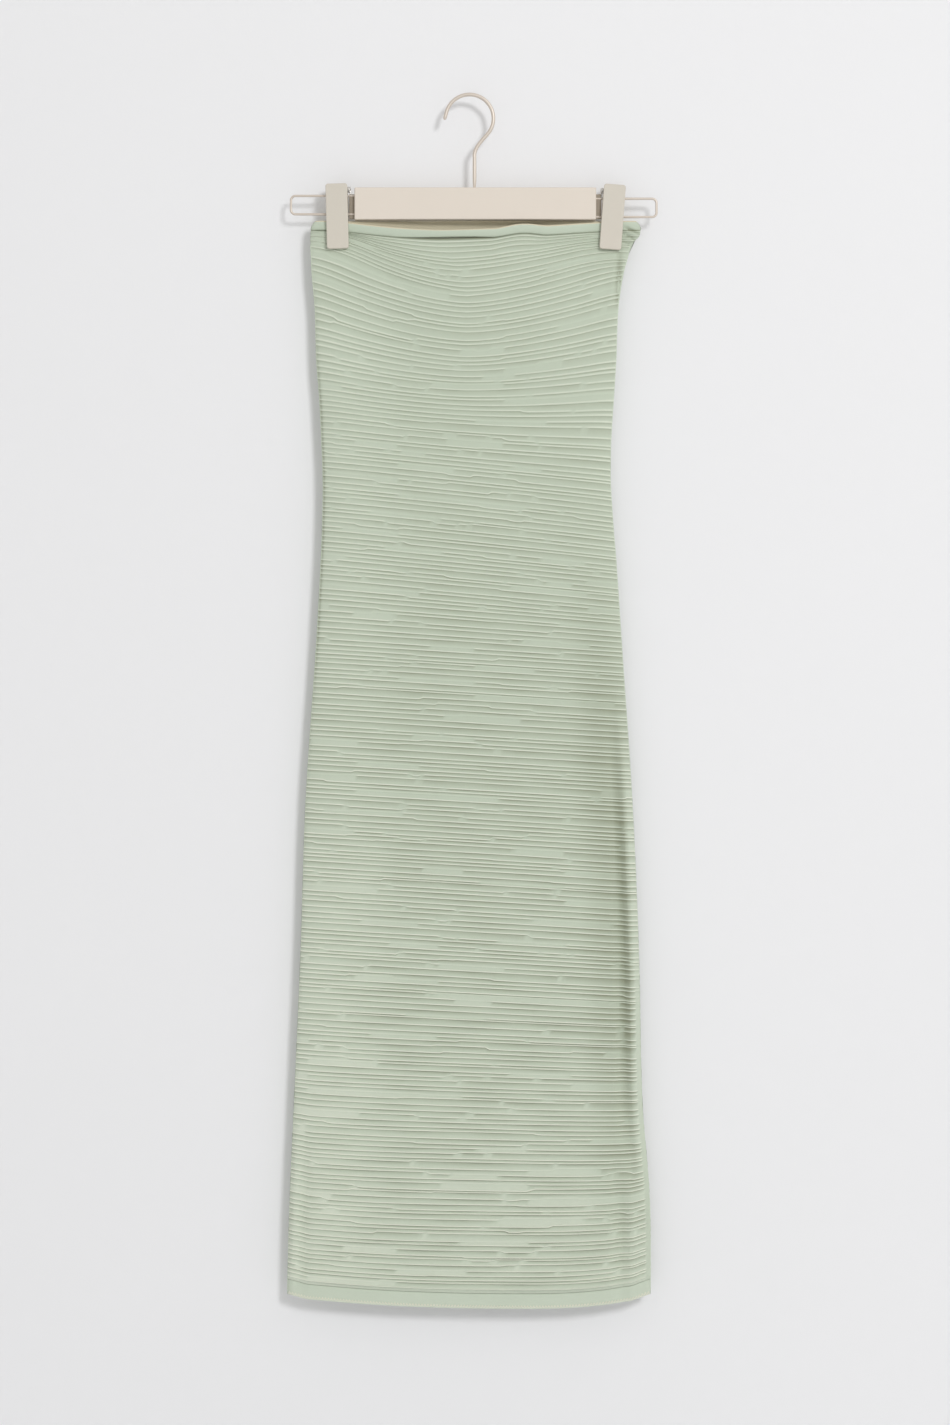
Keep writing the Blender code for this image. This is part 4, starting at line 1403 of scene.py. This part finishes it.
def knit_material(name, groups, yarn, light, stitch, toned=True):
    """A knitted cloth of one yarn, with its stitches raised by bump, and light and
    shade painted into its colour.
    """
    knit, yarn_mix = groups
    width, depth = stitch
    material, tree, shader = new_material(name)
    cloth = place_on_cloth(tree)
    height = width * STITCH_HEIGHT_SHARE
    stitches = use_group(tree, knit, Cloth=cloth, Stitch_Width=width, Stitch_Height=height)
    # The stored tone paints light and shade into the yarn's colour
    tone = stored_tone(tree) if toned else 0.0
    colour = use_group(
        tree, yarn_mix, Cloth=cloth, Yarn=yarn, Light_Yarn=light,
        Tone=tone, Hollow=stitches["Hollow"],
    )
    rough = calc("MULTIPLY_ADD", colour["Fuzz"], FUZZ_ROUGHENS, KNIT_ROUGHNESS)
    feed_all(shader, Base_Color=colour["Color"], Roughness=rough, Specular_IOR_Level=0.25)
    feed_all(shader, Sheen_Weight=0.12, Sheen_Roughness=0.5)
    bump(shader, stitches["Height"], distance=depth, strength=0.6)
    return material


def thread_material(name, yarn_mix, yarn, light):
    """Sewing thread, with fibres that vary along it."""
    material, tree, shader = new_material(name)
    place = place_in_object(tree)
    thread = use_group(tree, yarn_mix, Cloth=place, Yarn=yarn, Light_Yarn=light, Variation=0.4)
    feed_all(shader, Base_Color=thread["Color"], Roughness=0.7, Specular_IOR_Level=0.3)
    bump(shader, thread["Fuzz"], distance=0.0002, strength=0.4)
    return material


def plastic_material(name, moulded, colour, scuffed, roughness, wear):
    """Satin moulded plastic with light wear."""
    material, tree, shader = new_material(name)
    plastic = use_group(
        tree, moulded, Place=place_in_object(tree), Plastic=colour, Scuffed=scuffed,
        Roughness=roughness, Wear=wear,
    )
    feed_all(shader, Base_Color=plastic["Color"], Roughness=plastic["Roughness"])
    feed_all(shader, Specular_IOR_Level=0.4)
    bump(shader, plastic["Height"], distance=0.00005, strength=0.3)
    return material


def wire_material(name, drawn, clean, dull, roughness, metallic):
    """Drawn wire, bare or enamelled."""
    material, tree, shader = new_material(name)
    place = place_in_object(tree)
    wire = use_group(tree, drawn, Place=place, Clean=clean, Dull=dull, Roughness=roughness)
    feed_all(shader, Base_Color=wire["Color"], Roughness=wire["Roughness"], Metallic=metallic)
    bump(shader, wire["Height"], distance=0.00004, strength=0.3)
    return material


def paint_material(name, colours, clouds, roller, roughness, relief):
    """Flat paint whose two colours mix in faint clouds, the noise of which is
    given, with the fine relief of a roller of the given grain."""
    material, tree, shader = new_material(name)
    place = place_in_object(tree)
    cloud = noise(place, *clouds)
    feed_all(shader, Base_Color=mix_colour(cloud, *colours), Roughness=roughness)
    rolled = noise(place, roller, roughness=0.6)
    bump(shader, rolled, distance=0.0003, strength=relief)
    return material


def wall_material():
    """Smooth wall paint that shows on its front only."""
    colours = (WALL_PAINT, WALL_CLOUD)
    material = paint_material(
        "wall_paint", colours, clouds=(WALL_CLOUDS, 2.0), roller=WALL_ROLLER,
        roughness=0.9, relief=0.15,
    )
    nodes = material.node_tree.nodes
    mix = nodes.new("ShaderNodeMixShader")
    feed(mix.inputs[0], nodes.new("ShaderNodeNewGeometry").outputs["Backfacing"])
    feed(mix.inputs[1], nodes["Principled BSDF"].outputs[0])
    feed(mix.inputs[2], nodes.new("ShaderNodeBsdfTransparent").outputs[0])
    feed(nodes["Material Output"].inputs["Surface"], mix.outputs[0])
    return material


def floor_material():
    """Pale floor paint."""
    return paint_material(
        "floor_paint", (FLOOR_PAINT, WALL_PAINT), clouds=(FLOOR_CLOUDS, 3.0),
        roller=FLOOR_ROLLER, roughness=0.85, relief=0.2,
    )


# Stage

def make_plane(name, corners, material):
    """One flat part of the stage."""
    mesh = bpy.data.meshes.new(name)
    mesh.from_pydata(corners, [], [(0, 1, 2, 3)])
    mesh.materials.append(material)
    obj = bpy.data.objects.new(name, mesh)
    bpy.context.scene.collection.objects.link(obj)
    return obj


def make_stage():
    """The backdrop wall, which throws no shadow itself, and the floor."""
    half = WALL_HALF_WIDTH
    foot = [(x, WALL_Y, FLOOR_Z) for x in (-half, half)]
    head = [(x, WALL_Y, WALL_TOP) for x in (half, -half)]
    wall = make_plane("backdrop_wall", foot + head, wall_material())
    wall.visible_shadow = False
    near = [(x, -FLOOR_DEPTH, FLOOR_Z) for x in (-half, half)]
    far = [(x, FLOOR_DEPTH, FLOOR_Z) for x in (half, -half)]
    make_plane("pale_floor", near + far, floor_material())


def make_lights():
    """The area lights, each turned to its point, and the studio's even light."""
    scene = bpy.context.scene
    for name, (place, width, power, target) in LIGHTS.items():
        light = bpy.data.lights.new(name, "AREA")
        light.size = width
        light.energy = power
        light.color = COOL_LIGHT
        obj = bpy.data.objects.new(name, light)
        obj.location = place
        away = Vector(place) - Vector(target)
        obj.rotation_euler = away.to_track_quat("Z", "Y").to_euler()
        scene.collection.objects.link(obj)
    world = bpy.data.worlds.new("studio")
    world.use_nodes = True
    feed_all(world.node_tree.nodes["Background"], Color=SKY_COLOUR, Strength=SKY_STRENGTH)
    scene.world = world


def make_camera():
    """A level camera that looks at the front, as the photo was taken."""
    scene = bpy.context.scene
    camera = bpy.data.cameras.new("camera")
    camera.lens = CAMERA_LENS
    camera.clip_end = CAMERA_SEES_TO
    obj = bpy.data.objects.new("camera", camera)
    obj.location = CAMERA_PLACE
    obj.rotation_euler = (math.radians(90), 0.0, 0.0)
    scene.collection.objects.link(obj)
    scene.camera = obj
    scene.view_settings.view_transform = "Standard"


def make_dress():
    """The knitted tube with its bands, seams and overlock thread."""
    yarn_mix = yarn_group()
    groups = (knit_group(), yarn_mix)
    yarn = knit_material("rippled_knit", groups, YARN, YARN_LIGHT_AND_HIGHLIGHT, BODY_STITCH)
    band = knit_material("band_knit", groups, BAND_YARN, YARN_LIGHT_AND_HIGHLIGHT, BAND_STITCH)
    inside = knit_material("band_inside", groups, BAND_INSIDE, BAND_YARN, BAND_STITCH, toned=False)
    thread = thread_material("overlock_thread", yarn_mix, THREAD, BAND_YARN)
    seam = thread_material("seam_yarn", yarn_mix, YARN, YARN_LIGHT_AND_HIGHLIGHT)
    seams = [make_side_seam("left", -1, seam), make_side_seam("right", 1, seam)]
    for word, (side, seed) in SIDES.items():
        panel = make_panel(f"{word}_knit", f"{word}_panel", side, seed, yarn)
        trims = [
            make_neck_band(word, side, band, inside),
            make_hem_band(word, side, band),
            make_overlock(word, side, thread),
        ]
        if side == FRONT:
            trims += seams


def make_hanger():
    """The bar, hook, wire loops and the two clips."""
    moulded = moulded_group()
    drawn = drawn_metal_group()
    bar = plastic_material(
        "bar_plastic", moulded, BAR_PLASTIC, CLIP_PLASTIC, roughness=0.5, wear=0.12,
    )
    clip = plastic_material(
        "clip_plastic", moulded, CLIP_PLASTIC, BAR_PLASTIC, roughness=0.5, wear=0.15,
    )
    # The tabs' dark colour is painted shade of the recess between bar and clip
    tab = plastic_material(
        "tab_painted_shade", moulded, TAB_PAINTED_SHADE, CLIP_PLASTIC, roughness=0.55, wear=0.1,
    )
    enamel = wire_material(
        "wire_enamel", drawn, ENAMEL, BAR_PLASTIC, roughness=0.28, metallic=0.4,
    )
    steel = wire_material(
        "spring_steel", drawn, STEEL, CLIP_PLASTIC, roughness=0.2, metallic=1.0,
    )
    make_bar(bar, tab)
    make_hook(enamel)
    for word in CLIPS:
        make_wire_loop(word, enamel)
        make_jaw(word, "front", FRONT, clip)
        make_jaw(word, "back", BACK, clip)
        make_core(word, clip)
        make_spring(word, steel)


make_camera()
make_lights()
make_stage()
make_hanger()
make_dress()
